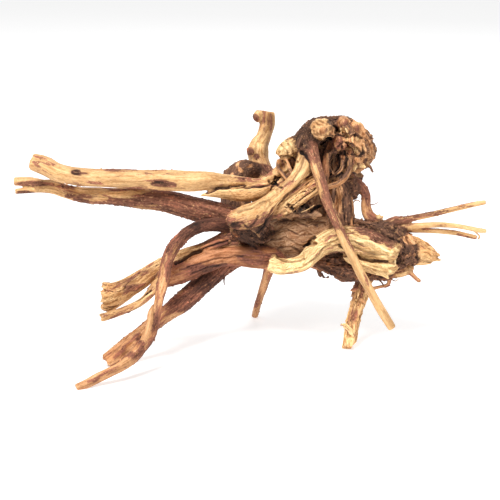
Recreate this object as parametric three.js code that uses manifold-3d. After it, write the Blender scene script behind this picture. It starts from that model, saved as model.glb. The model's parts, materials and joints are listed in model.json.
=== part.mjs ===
// A spiderwood root: one piece of wood, with a gnarled crown and many crossing roots, standing on
// the tips of its legs. Millimetres, +Z up, +Y away from the front, origin on the ground under the
// middle of the root.
import * as THREE from "three";
import { mergeVertices } from "three/addons/utils/BufferGeometryUtils.js";
import Module from "manifold-3d";

const wasm = await Module();
wasm.setup();

// The root is laid out as it is seen from the front, a little above. Every place below is
// [across, up, away] in millimetres from the middle of that view: to the right, up the view,
// and away from the viewer. Things further away than the middle are larger than they look.
const VIEW_ELEVATION = THREE.MathUtils.degToRad(16);
const VIEW_DISTANCE = 1500;
const VIEW_MIDDLE_HEIGHT = 87;
// Where the middle of the finished root's outline lies from the middle of the view.
const MIDDLE_X = 0;
const MIDDLE_Y = -36.4;

const ACROSS = new THREE.Vector3(1, 0, 0);
const UP = new THREE.Vector3(0, Math.sin(VIEW_ELEVATION), Math.cos(VIEW_ELEVATION));
const AWAY = new THREE.Vector3(0, Math.cos(VIEW_ELEVATION), -Math.sin(VIEW_ELEVATION));

const enlargement = (away) => 1 + away / VIEW_DISTANCE;

function place(across, up, away) {
  const k = enlargement(away);
  return new THREE.Vector3(across * k - MIDDLE_X, -MIDDLE_Y, VIEW_MIDDLE_HEIGHT)
    .addScaledVector(UP, up * k)
    .addScaledVector(AWAY, away);
}

// Runs: each is a length of root through [across, up, away, radius] points.
// sides: of its section. step: between rings. flute: how deep its grooves are. knobs: how much
// its girth swells and shrinks. flat: its thickness in depth over its width.
const RUNS = {
  // Long pale arm at the upper left, and the split strip under it
  upperArm: {
    sides: 9, step: 21, flute: 0.05, knobs: 0.04,
    points: [
      [-219, 89, -46, 8.4], [-205, 84, -46, 9.2], [-193, 78, -45, 9.2], [-178, 74.5, -44, 9],
      [-160, 72.6, -43, 9.2], [-135, 71.7, -42, 9.1], [-110, 71, -41, 9.7], [-85, 70, -40, 10.2],
      [-60, 68.8, -39, 10.3], [-40, 69.5, -38, 8.9], [-22, 69.5, -37, 6.2], [-5, 69, -36, 4],
      [10, 68.5, -35, 3.2], [19, 72.5, -34, 4], [26, 77, -33, 5.2], [38, 84, -30, 5.5],
    ],
  },
  splitStrip: {
    sides: 8, step: 13, flute: 0.1, knobs: 0.05,
    points: [
      [-50, 54.5, -41, 0.8], [-38, 56.5, -41, 3.6], [-25, 57, -41, 6], [-12, 56, -41, 7.6],
      [0, 57, -40, 8.2], [12, 60, -38, 7.8], [24, 62, -36, 6.5], [36, 68, -32, 6], [46, 76, -28, 6],
    ],
  },
  // Second arm, with its forked tip, and the long root that leaves it and crosses the front
  secondArm: {
    sides: 9, step: 21, flute: 0.07, knobs: 0.04,
    points: [
      [-214, 64, -22, 5], [-205, 63.5, -22, 6.9], [-195, 62.5, -22, 6.9], [-185, 58.7, -22, 6.6],
      [-175, 56, -22, 7.2], [-162, 54.4, -22, 8], [-145, 53.8, -22, 8.5], [-125, 52.9, -22, 9.3],
      [-105, 51.3, -22, 10.3], [-85, 49.2, -22, 10.8], [-70, 45.5, -22, 11.2],
      [-55, 41.5, -23, 11.8], [-40, 38, -24, 11.5], [-25, 35, -25, 10.5], [-5, 30, -22, 11],
    ],
  },
  forkUpper: {
    sides: 8, step: 11, flute: 0.04, knobs: 0.03,
    points: [
      [-236, 68.5, -22, 4.4], [-225, 68.5, -22, 4.8], [-213, 66.5, -22, 5.2], [-202, 64, -22, 5],
    ],
  },
  forkLower: {
    sides: 7, step: 13, flute: 0, knobs: 0,
    points: [
      [-235, 58.5, -22, 2.8], [-222, 59.7, -22, 3.2], [-209, 61, -22, 4], [-198, 61, -22, 4],
    ],
  },
  crossingRoot: {
    sides: 8, step: 13, flute: 0.06, knobs: 0.05,
    points: [
      [-12, 24, -30, 7.5], [-26, 25, -36, 6.8], [-40, 25.4, -42, 6.4], [-50, 23.5, -47, 6.2],
      [-60, 18.8, -52, 6.3], [-69, 11, -57, 6.3], [-76, 3, -61, 6.2], [-81, -6, -65, 6],
      [-84, -16, -69, 5.8], [-86, -28, -73, 5.8], [-89, -40, -78, 5.4], [-91.5, -52, -82, 4.7],
      [-93, -64, -86, 4], [-95.5, -75, -90, 4.4], [-101, -87, -95, 5.8], [-108.5, -97.5, -100, 6],
      [-117.5, -107.5, -106, 6], [-128.5, -116, -112, 5.3], [-140, -122, -117, 5],
      [-152, -127.8, -121, 4.9], [-164, -134, -126, 4.7], [-174, -137.8, -129, 4.4],
    ],
  },
  twistStrand: {
    sides: 7, step: 10, flute: 0, knobs: 0,
    points: [
      [-97, -55, -84, 1.4], [-99.5, -64, -88, 3.2], [-100, -73, -92, 3.8], [-102.5, -83, -96, 4.2],
      [-107, -92, -100, 4],
    ],
  },
  // Lower trunk, its torn left arm, the thin root under that, and the leg behind
  lowerTrunk: {
    sides: 10, step: 17, flute: 0.08, knobs: 0.05,
    points: [
      [40, 2, -10, 9], [24, -7, -24, 11], [8, -7, -31, 11], [-15, -4.8, -34, 10.8],
      [-30, -6, -35, 10.8], [-45, -10.7, -37, 11.3], [-60, -17, -39, 12], [-72, -21.7, -41, 12],
      [-82, -26.5, -43, 10.5], [-92, -32, -46, 7],
    ],
  },
  tornArm: {
    sides: 10, step: 14, flute: 0.09, knobs: 0.05,
    points: [
      [-12, 12, -30, 11], [-22, 9.5, -31, 9], [-36, 5.5, -33, 7], [-50, 0.5, -35, 5.7],
      [-62, -3.3, -37, 6], [-75, -8.5, -38, 6.8], [-88, -15, -40, 7.4], [-100, -23, -42, 8.2],
      [-110, -30, -43, 9.5], [-121, -36.8, -44, 10.2], [-132, -42.5, -45, 11.5],
      [-141, -46, -46, 13.8], [-148.5, -46, -46, 14.6],
    ],
  },
  underRoot: {
    sides: 7, step: 16, flute: 0.05, knobs: 0.05,
    points: [
      [-82, -27, -48, 5], [-93, -34.5, -52, 5], [-99, -42.3, -54, 4.8], [-105, -48.8, -55, 4.3],
      [-113, -54.2, -56, 4], [-125, -59.7, -57, 3.8], [-138, -64.5, -58, 4], [-150, -68, -59, 4.6],
    ],
  },
  rearLeg: {
    sides: 9, step: 18, flute: 0.08, knobs: 0.04,
    points: [
      [5, 4, -4, 12], [-12, -5, -8, 11], [-28, -16.3, -14, 10.2], [-42, -29, -22, 10.2],
      [-55, -41.6, -30, 10], [-68, -52.8, -39, 9.6], [-82, -62.8, -49, 8.4], [-95, -72.6, -57, 7.8],
      [-108, -83.3, -64, 7.6], [-122, -94, -69, 7.8], [-134, -104, -72, 8.1],
      [-144.5, -111.5, -73.5, 7.7],
    ],
  },
  // Broad limb and torn plank that rise across the front to the crown, on a dark base
  frontLimb: {
    sides: 11, step: 12, flute: 0.06, knobs: 0.04, flat: 0.8,
    points: [
      [-17, 30, -58, 7], [-12, 31, -58, 10], [-4, 33, -58, 12], [6, 36.5, -57, 12],
      [15, 43, -56, 10], [23, 51, -55, 7.5], [32, 58.5, -54, 6.2], [41, 66, -53, 6.4],
      [49, 74.5, -51, 7.8], [54, 84, -48, 9.2], [57, 94, -42, 9], [60, 104, -34, 8],
    ],
  },
  tornPlank: {
    sides: 10, step: 11, flute: 0.12, knobs: 0.04, flat: 0.6,
    points: [
      [20, 31, -48, 2], [30, 39.5, -48, 7.5], [40, 48, -47, 9.8], [50, 56.5, -46, 10.4],
      [61, 63.5, -44, 10.4], [74, 69, -36, 9],
    ],
  },
  limbValley: {
    sides: 8, step: 12, flute: 0.05, knobs: 0,
    points: [
      [4, 18, -50, 8], [12, 28, -50, 7], [19, 39, -49, 5], [25, 48, -48, 4], [33, 55, -46, 4],
    ],
  },
  limbBase: {
    sides: 11, step: 13, flute: 0.1, knobs: 0.06,
    points: [
      [-15, 27, -46, 9], [-5, 20, -44, 12], [7, 16, -38, 13.5], [20, 15, -28, 14],
      [34, 15, -14, 13],
    ],
  },
  // Heart of the root, its back and its neck
  heart: {
    sides: 12, step: 14, flute: 0.06, knobs: 0.05, flat: 0.9,
    points: [
      [4, 15, -12, 14], [22, 14, -13, 22], [42, 14, -14, 26.5], [60, 14.5, -13, 26.5],
      [78, 16, -11, 25], [98, 14, -10, 20], [116, 10, -12, 15],
    ],
  },
  back: {
    sides: 11, step: 17, flute: 0.12, knobs: 0.05,
    points: [
      [-10, 14, 2, 13], [8, 18, 10, 16], [30, 24, 15, 19], [54, 32, 17, 20], [76, 46, 15, 18],
      [92, 62, 10, 15], [102, 80, 4, 13],
    ],
  },
  neck: {
    sides: 11, step: 15, flute: 0.1, knobs: 0.05,
    points: [
      [68, 20, -2, 22], [74, 44, -2, 20], [80, 66, -6, 17], [86, 84, -8, 17], [88, 100, -12, 16],
    ],
  },
  slab: {
    sides: 10, step: 12, flute: 0.1, knobs: 0.06, flat: 0.6,
    points: [
      [84, 70, -20, 7], [89, 58, -24, 11], [91, 46, -26, 12.5], [91, 34, -26, 13.5],
      [92, 20, -24, 13],
    ],
  },
  rearStub: {
    sides: 10, step: 11, flute: 0.08, knobs: 0.06,
    points: [[50, 26, 18, 13], [57, 25, 34, 10.5], [62, 22, 47, 9], [65, 18, 57, 8.6]],
  },
  // Pale waved wood, its lower lip, the bark over it, its tail and the dark wood under it
  paleWave: {
    sides: 11, step: 12, flute: 0.08, knobs: 0.03,
    points: [
      [12, -13, -34, 9.5], [20, -14.5, -38, 9.2], [28, -16.5, -40, 8.6], [37, -17, -41, 8],
      [46, -15.5, -42, 8], [55, -12, -42, 8.2], [62, -4.5, -42, 9.2], [70, 3, -41, 10.4],
      [82, 8.7, -39, 11.8], [95, 10.5, -36, 13], [108, 9, -34, 14], [122, 4.5, -33, 14],
      [135, -1, -32, 12.8], [147, -5, -31, 11.8],
    ],
  },
  lowerLip: {
    sides: 9, step: 12, flute: 0.08, knobs: 0.04,
    points: [
      [94, -5, -30, 5], [108, -11.5, -34, 6], [123, -16.5, -34, 7], [137, -19, -33, 6.5],
      [147, -16.5, -31, 5.5],
    ],
  },
  barkRidge: {
    sides: 11, step: 11, flute: 0.16, knobs: 0.12,
    points: [
      [90, 24, -18, 9], [106, 20.5, -20, 9.5], [122, 18, -22, 11], [138, 12, -22, 12.8],
      [152, 4, -22, 12.8], [162, -6, -22, 9.5], [168, -13, -22, 4.5],
    ],
  },
  paleTail: {
    sides: 9, step: 11, flute: 0.12, knobs: 0.04, flat: 0.7,
    points: [
      [144, 10, -20, 8], [158, 3.5, -20, 11.4], [169, -1.5, -20, 11.2], [179, -5, -20, 8.4],
      [187, -7.5, -20, 4.6], [192.5, -8.8, -20, 2],
    ],
  },
  tailProng: {
    sides: 7, step: 10, flute: 0.06, knobs: 0,
    points: [[158, -9, -20, 4.5], [168, -11, -21, 4.4], [175, -12, -21, 3.3], [182, -13, -21, 1.2]],
  },
  underWood: {
    sides: 11, step: 12, flute: 0.12, knobs: 0.08,
    points: [
      [56, -6, -16, 6], [72, -10.5, -16, 10], [90, -14, -15, 12.5], [106, -17, -14, 12.8],
      [121, -19.3, -14, 11.8], [134, -21.5, -15, 10], [145, -20.5, -16, 7], [157, -17.5, -18, 5.4],
    ],
  },
  // Legs under the right side
  rightLeg: {
    sides: 10, step: 12, flute: 0.08, knobs: 0.06,
    points: [
      [116, -14, -8, 9], [116, -24, -6, 8.4], [113.3, -34, -6, 8], [111.3, -44, -7, 8.2],
      [108, -55, -9, 7.7], [104.2, -68, -13, 7.4], [102, -80, -17, 7.4], [100.3, -90, -21, 7.3],
      [98.5, -98.5, -25, 7],
    ],
  },
  legSpur: {
    sides: 6, step: 8, flute: 0, knobs: 0,
    points: [[110, -38, -10, 3], [104, -40, -12, 2.2], [99.5, -40.5, -13, 0.9]],
  },
  backLeg: {
    sides: 8, step: 15, flute: 0.04, knobs: 0.05,
    points: [
      [24, 8, -12, 9], [21.5, -6, -6, 6.5], [19.2, -18, 4, 5.2], [15.2, -31, 18, 4.4],
      [11, -44, 36, 3.9], [7.3, -56, 54, 3.5], [5, -65, 69, 3.2], [4.3, -67.8, 75, 3.1],
    ],
  },
  // Long straight stick that hangs from the crown across the front
  longStick: {
    sides: 8, step: 20, flute: 0.04, knobs: 0.02,
    points: [
      [56, 112, -28, 7], [60.5, 102, -40, 7.2], [64, 90, -49, 6.2], [67.5, 79, -54, 5.9],
      [71, 68, -57, 5.6], [74, 57, -60, 5.3], [78, 46, -62, 5.1], [84, 33, -62.5, 4.8],
      [91, 17, -61.5, 4.7], [99, 0, -58, 4.7], [105.5, -13, -52, 4.7], [112, -26, -48, 4.7],
      [120.3, -41, -43, 4.6], [128.7, -56, -38, 4.6], [136.5, -69, -33, 4.6],
      [142.4, -78.3, -30, 4.3],
    ],
  },
  // Crown: arch, left lobe, cut knob, right side, inner strands
  crownArch: {
    sides: 11, step: 10, flute: 0.09, knobs: 0.06,
    points: [
      [50, 84, -22, 9], [53, 98, -28, 11.5], [56.5, 109, -32, 12.5], [63.5, 117.5, -31, 11.5],
      [73, 124, -28, 9], [84, 127, -25, 6.5], [93, 127.5, -23, 6.5], [102, 122, -23, 7.5],
    ],
  },
  leftLobe: {
    sides: 10, step: 9, flute: 0.12, knobs: 0.1,
    points: [[31.5, 93, -30, 6], [35, 98.5, -33, 8.4], [41, 102.5, -34, 9.4], [50, 106, -32, 9]],
  },
  cutKnob: {
    sides: 11, step: 9, flute: 0.08, knobs: 0.03,
    points: [
      [76, 120, -22, 9], [73, 121, -36, 10.5], [71.5, 121.3, -47, 11], [70.5, 121, -57, 10.3],
    ],
  },
  crownRight: {
    sides: 11, step: 10, flute: 0.13, knobs: 0.1,
    points: [
      [88, 125.5, -20, 7], [100, 121.5, -24, 9], [108, 113.5, -24, 10.5], [113, 102, -22, 11.5],
      [111.5, 92, -19, 9.5], [100.5, 84, -17, 9],
    ],
  },
  innerStrand: {
    sides: 8, step: 11, flute: 0.08, knobs: 0.06,
    points: [
      [90, 114, -26, 7], [83, 102, -32, 6], [79, 91, -36, 5.5], [76, 80, -39, 5], [74, 68, -42, 4],
    ],
  },
  hookStrand: {
    sides: 7, step: 9, flute: 0.04, knobs: 0.05,
    points: [
      [99, 92, -32, 3], [98.5, 80, -37, 3], [94, 71, -41, 3], [86, 65.5, -45, 3.1],
      [77, 63, -48, 3], [70, 61, -50, 2.8],
    ],
  },
  lobeStrandLeft: {
    sides: 7, step: 9, flute: 0, knobs: 0,
    points: [
      [29, 90, -30, 3], [28, 84, -36, 2.8], [33, 78, -42, 3], [39, 70, -46, 3.2], [45, 64, -48, 3],
    ],
  },
  lobeStrandRight: {
    sides: 6, step: 9, flute: 0, knobs: 0,
    points: [[33, 94, -34, 2.6], [38, 86, -40, 2.4], [41.5, 78, -45, 2.5], [46, 71, -48, 2.6]],
  },
  // Root that leaves the crown on the right and comes back to the bark, and a stub where it lands
  loopRoot: {
    sides: 8, step: 9, flute: 0.06, knobs: 0.06,
    points: [
      [97, 71, -10, 7.5], [106, 66.5, -12, 5.8], [113, 61, -14, 5.2], [116, 53.5, -15, 4.7],
      [115.8, 45, -17, 4.7], [117.5, 37, -19, 5.2], [122.5, 30.5, -21, 6], [129, 23, -22, 6.5],
    ],
  },
  loopStub: {
    sides: 7, step: 7, flute: 0, knobs: 0,
    points: [[124, 28, -22, 4], [129, 32, -23, 3.3], [132.5, 35, -24, 2.9]],
  },
  // Thin roots at the right
  twigHigh: {
    sides: 6, step: 18, flute: 0.04, knobs: 0.05,
    points: [
      [132, 22, -20, 5.2], [144, 29, -23, 4.6], [155, 30.3, -24, 3.8], [168, 33, -25, 3.3],
      [185, 36.5, -26, 3], [202, 40.5, -28, 2.8], [218, 44.3, -29, 2.7], [228, 46.5, -30, 2.8],
      [236, 47.7, -31, 2.4],
    ],
  },
  twigMiddle: {
    sides: 6, step: 18, flute: 0, knobs: 0.05,
    points: [
      [140, 17, -20, 4.8], [150, 22, -21, 3.9], [160, 23.5, -22, 3.4], [175, 24.7, -22, 3],
      [190, 25.2, -23, 2.8], [205, 24.2, -24, 2.7], [220, 21.6, -25, 2.6], [230, 19.5, -26, 2.6],
      [236.5, 19, -26, 2.1],
    ],
  },
  twigLow: {
    sides: 6, step: 18, flute: 0, knobs: 0.04,
    points: [
      [140, 16, -16, 4.4], [152, 20.2, -16, 3.4], [165, 20, -15, 3], [180, 19.4, -15, 2.8],
      [195, 18.3, -15, 2.7], [208, 16.7, -15, 2.6], [220, 14, -15, 2.5], [227, 12.4, -15, 2.2],
    ],
  },
  // Broken bits under the tail
  brokenBit: {
    sides: 7, step: 9, flute: 0, knobs: 0.05,
    points: [
      [161, -16.5, -18, 3.8], [157, -21.5, -20, 3.5], [151, -24, -21, 3.6], [144, -25, -21, 3],
    ],
  },
  brokenTwig: {
    sides: 6, step: 9, flute: 0, knobs: 0,
    points: [
      [157, -20, -20, 2.8], [162, -24.5, -21, 2.4], [166, -28.5, -21, 2.1], [170.5, -32, -22, 2.4],
    ],
  },
  ringTwig: {
    sides: 6, step: 8, flute: 0, knobs: 0,
    points: [
      [114, -40, -8, 2.4], [122, -38.5, -10, 1.9], [131, -36.5, -12, 1.8], [138, -34.5, -13, 2],
      [139.5, -28, -14, 2.5], [138, -21, -15, 3.4],
    ],
  },
  // Roots at the back
  backStub: {
    sides: 10, step: 11, flute: 0.06, knobs: 0.04,
    points: [
      [4, 133, 44, 5.4], [10, 134, 46, 6.8], [16.5, 130.5, 47, 7.8], [16.8, 122, 47, 7.8],
      [14, 113, 46, 7.4], [11.5, 105, 45, 7.6], [10.5, 97, 43, 8.2], [11, 90, 41, 8.6],
      [12, 84, 38, 9], [15, 77, 34, 9.2], [20, 66, 27, 11], [28, 50, 18, 14],
    ],
  },
  darkRoot: {
    sides: 11, step: 13, flute: 0.08, knobs: 0.04,
    points: [
      [-2, 12, 0, 13], [-10, 28, 4, 14.4], [-13.5, 44, 8, 14.6], [-14, 58, 12, 14.6],
      [-13, 71, 17, 14.4], [-8, 79, 24, 12.8], [2, 80.5, 32, 9.5], [12, 78, 36, 8],
    ],
  },
};

// Lumps: [across, up, away, half width, half height, half depth, roughness,
// how finely it is divided]
const LUMPS = {
  innerKnob: [89.5, 107, -37, 7, 7, 7, 0.12, 2],
  innerMass: [96, 90, -24, 9, 13, 9, 0.16, 1],
  crownTop: [93, 125, -22, 9, 7, 9, 0.14, 2],
  crownSide: [115.5, 101, -16, 10, 12, 12, 0.2, 2],
  crownBack: [88, 108, -6, 22, 18, 15, 0.14, 2],
  crownLeft: [43, 84, -17, 12, 14, 9, 0.14, 1],
  crownUnder: [99, 61, -14, 10.5, 11, 11, 0.18, 2],
  crownFringe: [104, 117, -31, 9, 7, 7, 0.24, 1],
  crownCore: [66, 92, -22, 13, 15, 8, 0.14, 1],
  barkLow: [146, -12, -21, 11, 8, 7, 0.18, 1],
  stubKnob: [3.5, 97, 41, 7.5, 9, 8, 0.12, 1],
  rootEar: [-22, 76, 14, 6, 5, 6, 0.16, 1],
};

// Hollows: like lumps, cut away
const HOLLOWS = {
  underKnob: [78.5, 106, -44, 6, 9, 14, 0.1, 1],
  besideKnob: [87, 117.5, -44, 5, 4, 12, 0.1, 1],
  eye: [84.5, 87, -42, 4.2, 10, 13, 0.08, 1],
  shadowGap: [57, 46.5, -29, 17, 7, 15, 0.14, 1],
  gapRight: [68.5, 44, -36, 3.8, 7, 18, 0.1, 1],
  limbHollow: [50.5, 99.5, -54, 5, 5, 12, 0.08, 1],
  lobeEye: [33.5, 84.5, -38, 3.4, 5.5, 9, 0.05, 1],
  waveSlit: [60, 6.5, -48, 8, 3.4, 15, 0.05, 1],
};

const GIRTH_TENSION = 0.3;
const WELD = 1e-4;
const GOLDEN_ANGLE = Math.PI * (3 - Math.sqrt(5));

// Waves are laid over each other so that no two runs look alike. count: of grooves round the
// girth. turn: how far along a run they take to turn by a radian. share: how deep they are.
const GROOVES = [
  { count: 3, turn: 45, start: 1, share: 0.62 },
  { count: 5, turn: -30, start: 2.1, share: 0.38 },
];
const SWELLINGS = [
  { length: 11, start: 1 },
  { length: 6.5, start: 2.3 },
];

// Low waves over a section's girth and along a run, from -1 to 1.
function grooves(angle, along, phase) {
  let height = 0;
  for (const { count, turn, start, share } of GROOVES) {
    height += share * Math.cos(count * angle + along / turn + start * phase);
  }
  return height;
}

function swelling(along, phase) {
  let height = 0;
  for (const { length, start } of SWELLINGS) {
    height += Math.sin(along / length + start * phase);
  }
  return height / SWELLINGS.length;
}

// A closed cylinder, bent along the run's curve, with its girth, grooves and swellings.
function runGeometry({ points, sides, step, flute, knobs, flat = 1 }, phase) {
  const curve = new THREE.CatmullRomCurve3(points.map(([a, u, w]) => place(a, u, w)));
  const girth = new THREE.CatmullRomCurve3(
    points.map(([, , w, r]) => new THREE.Vector3(r * enlargement(w), 0, 0)),
    false, "catmullrom", GIRTH_TENSION,
  );
  const length = curve.getLength();
  const rings = Math.max(2, Math.round(length / step));
  const { normals, binormals } = curve.computeFrenetFrames(rings, false);
  const geometry = new THREE.CylinderGeometry(1, 1, 1, sides, rings);
  const position = geometry.getAttribute("position");
  const vertex = new THREE.Vector3();
  for (let i = 0; i < position.count; i++) {
    vertex.fromBufferAttribute(position, i);
    const ring = Math.round((vertex.y + 0.5) * rings);
    const t = curve.getUtoTmapping(ring / rings);
    const along = (ring / rings) * length;
    const angle = Math.atan2(vertex.x, vertex.z);
    const reach =
      Math.hypot(vertex.x, vertex.z) *
      girth.getPoint(t).x *
      (1 + flute * grooves(angle, along, phase) + knobs * swelling(along, phase));
    const offset = normals[ring].clone().multiplyScalar(reach * Math.cos(angle))
      .addScaledVector(binormals[ring], reach * Math.sin(angle));
    offset.addScaledVector(AWAY, -(1 - flat) * offset.dot(AWAY));
    vertex.copy(curve.getPoint(t)).add(offset);
    position.setXYZ(i, vertex.x, vertex.y, vertex.z);
  }
  return geometry;
}

// Waves over a ball's surface, from -1 to 1: how fast each runs along its x, y and z.
const BALL_WAVES = [
  [5, 4, 0],
  [0, 6, -5],
  [5, 0, 7],
];

function ballWaves(way, phase) {
  let height = 0;
  BALL_WAVES.forEach(([x, y, z], i) => {
    height += Math.sin(x * way.x + y * way.y + z * way.z + (i + 1) * phase);
  });
  return height / BALL_WAVES.length;
}

// A ball, stretched along the view's axes and roughened.
function lumpGeometry([across, up, away, width, height, depth, roughness, detail], phase) {
  const middle = place(across, up, away);
  const k = enlargement(away);
  const geometry = new THREE.IcosahedronGeometry(1, detail);
  const position = geometry.getAttribute("position");
  const way = new THREE.Vector3();
  for (let i = 0; i < position.count; i++) {
    way.fromBufferAttribute(position, i).normalize();
    const reach = k * (1 + roughness * ballWaves(way, phase));
    const vertex = middle.clone()
      .addScaledVector(ACROSS, way.x * width * reach)
      .addScaledVector(UP, way.y * height * reach)
      .addScaledVector(AWAY, -way.z * depth * reach);
    position.setXYZ(i, vertex.x, vertex.y, vertex.z);
  }
  return geometry;
}

function solidOf(geometry) {
  geometry.deleteAttribute("normal");
  geometry.deleteAttribute("uv");
  const merged = mergeVertices(geometry, WELD);
  return new wasm.Manifold(
    new wasm.Mesh({
      numProp: 3,
      vertProperties: merged.getAttribute("position").array,
      triVerts: new Uint32Array(merged.index.array),
    }),
  );
}

function geometryOf(solid) {
  const mesh = solid.getMesh();
  const geometry = new THREE.BufferGeometry();
  geometry.setAttribute("position", new THREE.BufferAttribute(mesh.vertProperties, 3));
  geometry.setIndex(new THREE.BufferAttribute(mesh.triVerts, 1));
  geometry.computeVertexNormals();
  return geometry;
}

// Everything below the ground, so that the feet that reach it end in small flat spots.
function groundBlock() {
  const width = 900;
  const depth = 100;
  return new THREE.BoxGeometry(width, width, depth).translate(0, 0, -depth / 2);
}

function rootSolid() {
  const phased = (shapes, shape) =>
    Object.values(shapes).map((given, i) => solidOf(shape(given, i * GOLDEN_ANGLE)));
  const runs = phased(RUNS, runGeometry);
  const lumps = phased(LUMPS, lumpGeometry);
  const hollows = phased(HOLLOWS, lumpGeometry);
  const wood = wasm.Manifold.union([...runs, ...lumps]);
  const carved = wood.subtract(wasm.Manifold.union(hollows)).subtract(solidOf(groundBlock()));
  const bodies = carved.decompose();
  return bodies.reduce((a, b) => (a.volume() > b.volume() ? a : b));
}

const wood = new THREE.MeshStandardMaterial({ color: 0xb98a55, roughness: 0.8, metalness: 0 });
const root = new THREE.Mesh(geometryOf(rootSolid()), wood);
root.name = "spiderwood_root";

const spiderwood = new THREE.Group();
spiderwood.add(root);
export default spiderwood;
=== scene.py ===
"""A spiderwood root: one weathered piece of wood, stripped pale in places and barked in others.

Blender gives the root its skin: the same routes as the solid, finely fused, with grain, cracks, bark
edges and torn ends raised in the mesh, and colours that follow the grain of each strand.
"""

import json
import math
import random

import bmesh
import bpy
import numpy as np
from mathutils import Matrix, Vector, noise
from mathutils.bvhtree import BVHTree
from mathutils.kdtree import KDTree

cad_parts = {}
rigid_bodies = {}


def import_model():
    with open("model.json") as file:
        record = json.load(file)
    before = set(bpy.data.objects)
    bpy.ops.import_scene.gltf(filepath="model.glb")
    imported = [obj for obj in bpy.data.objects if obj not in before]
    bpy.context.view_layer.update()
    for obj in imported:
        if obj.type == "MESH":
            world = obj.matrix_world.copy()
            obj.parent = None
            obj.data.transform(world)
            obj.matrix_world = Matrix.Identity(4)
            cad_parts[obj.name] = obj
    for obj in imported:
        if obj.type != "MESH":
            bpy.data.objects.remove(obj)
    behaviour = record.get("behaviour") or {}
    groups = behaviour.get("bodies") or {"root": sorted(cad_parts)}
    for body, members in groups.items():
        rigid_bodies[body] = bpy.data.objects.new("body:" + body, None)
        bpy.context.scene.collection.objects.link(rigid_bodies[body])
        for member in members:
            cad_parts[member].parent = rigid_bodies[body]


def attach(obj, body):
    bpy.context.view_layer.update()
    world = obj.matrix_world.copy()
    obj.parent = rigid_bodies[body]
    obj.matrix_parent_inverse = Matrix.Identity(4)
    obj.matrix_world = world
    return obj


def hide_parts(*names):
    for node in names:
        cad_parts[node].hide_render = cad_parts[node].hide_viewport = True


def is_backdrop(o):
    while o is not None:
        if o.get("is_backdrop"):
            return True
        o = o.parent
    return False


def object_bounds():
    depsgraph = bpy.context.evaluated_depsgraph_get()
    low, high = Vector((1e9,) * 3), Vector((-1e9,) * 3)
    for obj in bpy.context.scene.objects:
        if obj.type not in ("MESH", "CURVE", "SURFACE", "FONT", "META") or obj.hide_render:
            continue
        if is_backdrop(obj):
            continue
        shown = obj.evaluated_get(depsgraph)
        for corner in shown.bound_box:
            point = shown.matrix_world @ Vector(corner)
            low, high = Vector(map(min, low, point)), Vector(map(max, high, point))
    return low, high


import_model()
CAD_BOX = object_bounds()

bl_info = {
    "name": "Spiderwood root",
    "version": (1, 0, 0),
    "blender": (4, 5, 0),
    "location": "3D View > Sidebar > Spiderwood",
    "description": "Builds the skin, torn fibres and stage of a spiderwood root",
    "category": "Object",
}

MM = 0.001

# The root is laid out as it is seen from the front, a little above. Every place below is
# [across, up, away] in millimetres from the middle of that view.
VIEW_ELEVATION = math.radians(16)
VIEW_DISTANCE = 1500
VIEW_MIDDLE_HEIGHT = 87
MIDDLE_X = 0
MIDDLE_Y = -36.4

RIGHT = np.array([1.0, 0.0, 0.0])
UP = np.array([0.0, math.sin(VIEW_ELEVATION), math.cos(VIEW_ELEVATION)])
AWAY = np.array([0.0, math.cos(VIEW_ELEVATION), -math.sin(VIEW_ELEVATION)])
MIDDLE = np.array([-MIDDLE_X, -MIDDLE_Y, VIEW_MIDDLE_HEIGHT])

IMAGE_PIXELS = 500
SENSOR_MM = 36

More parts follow.
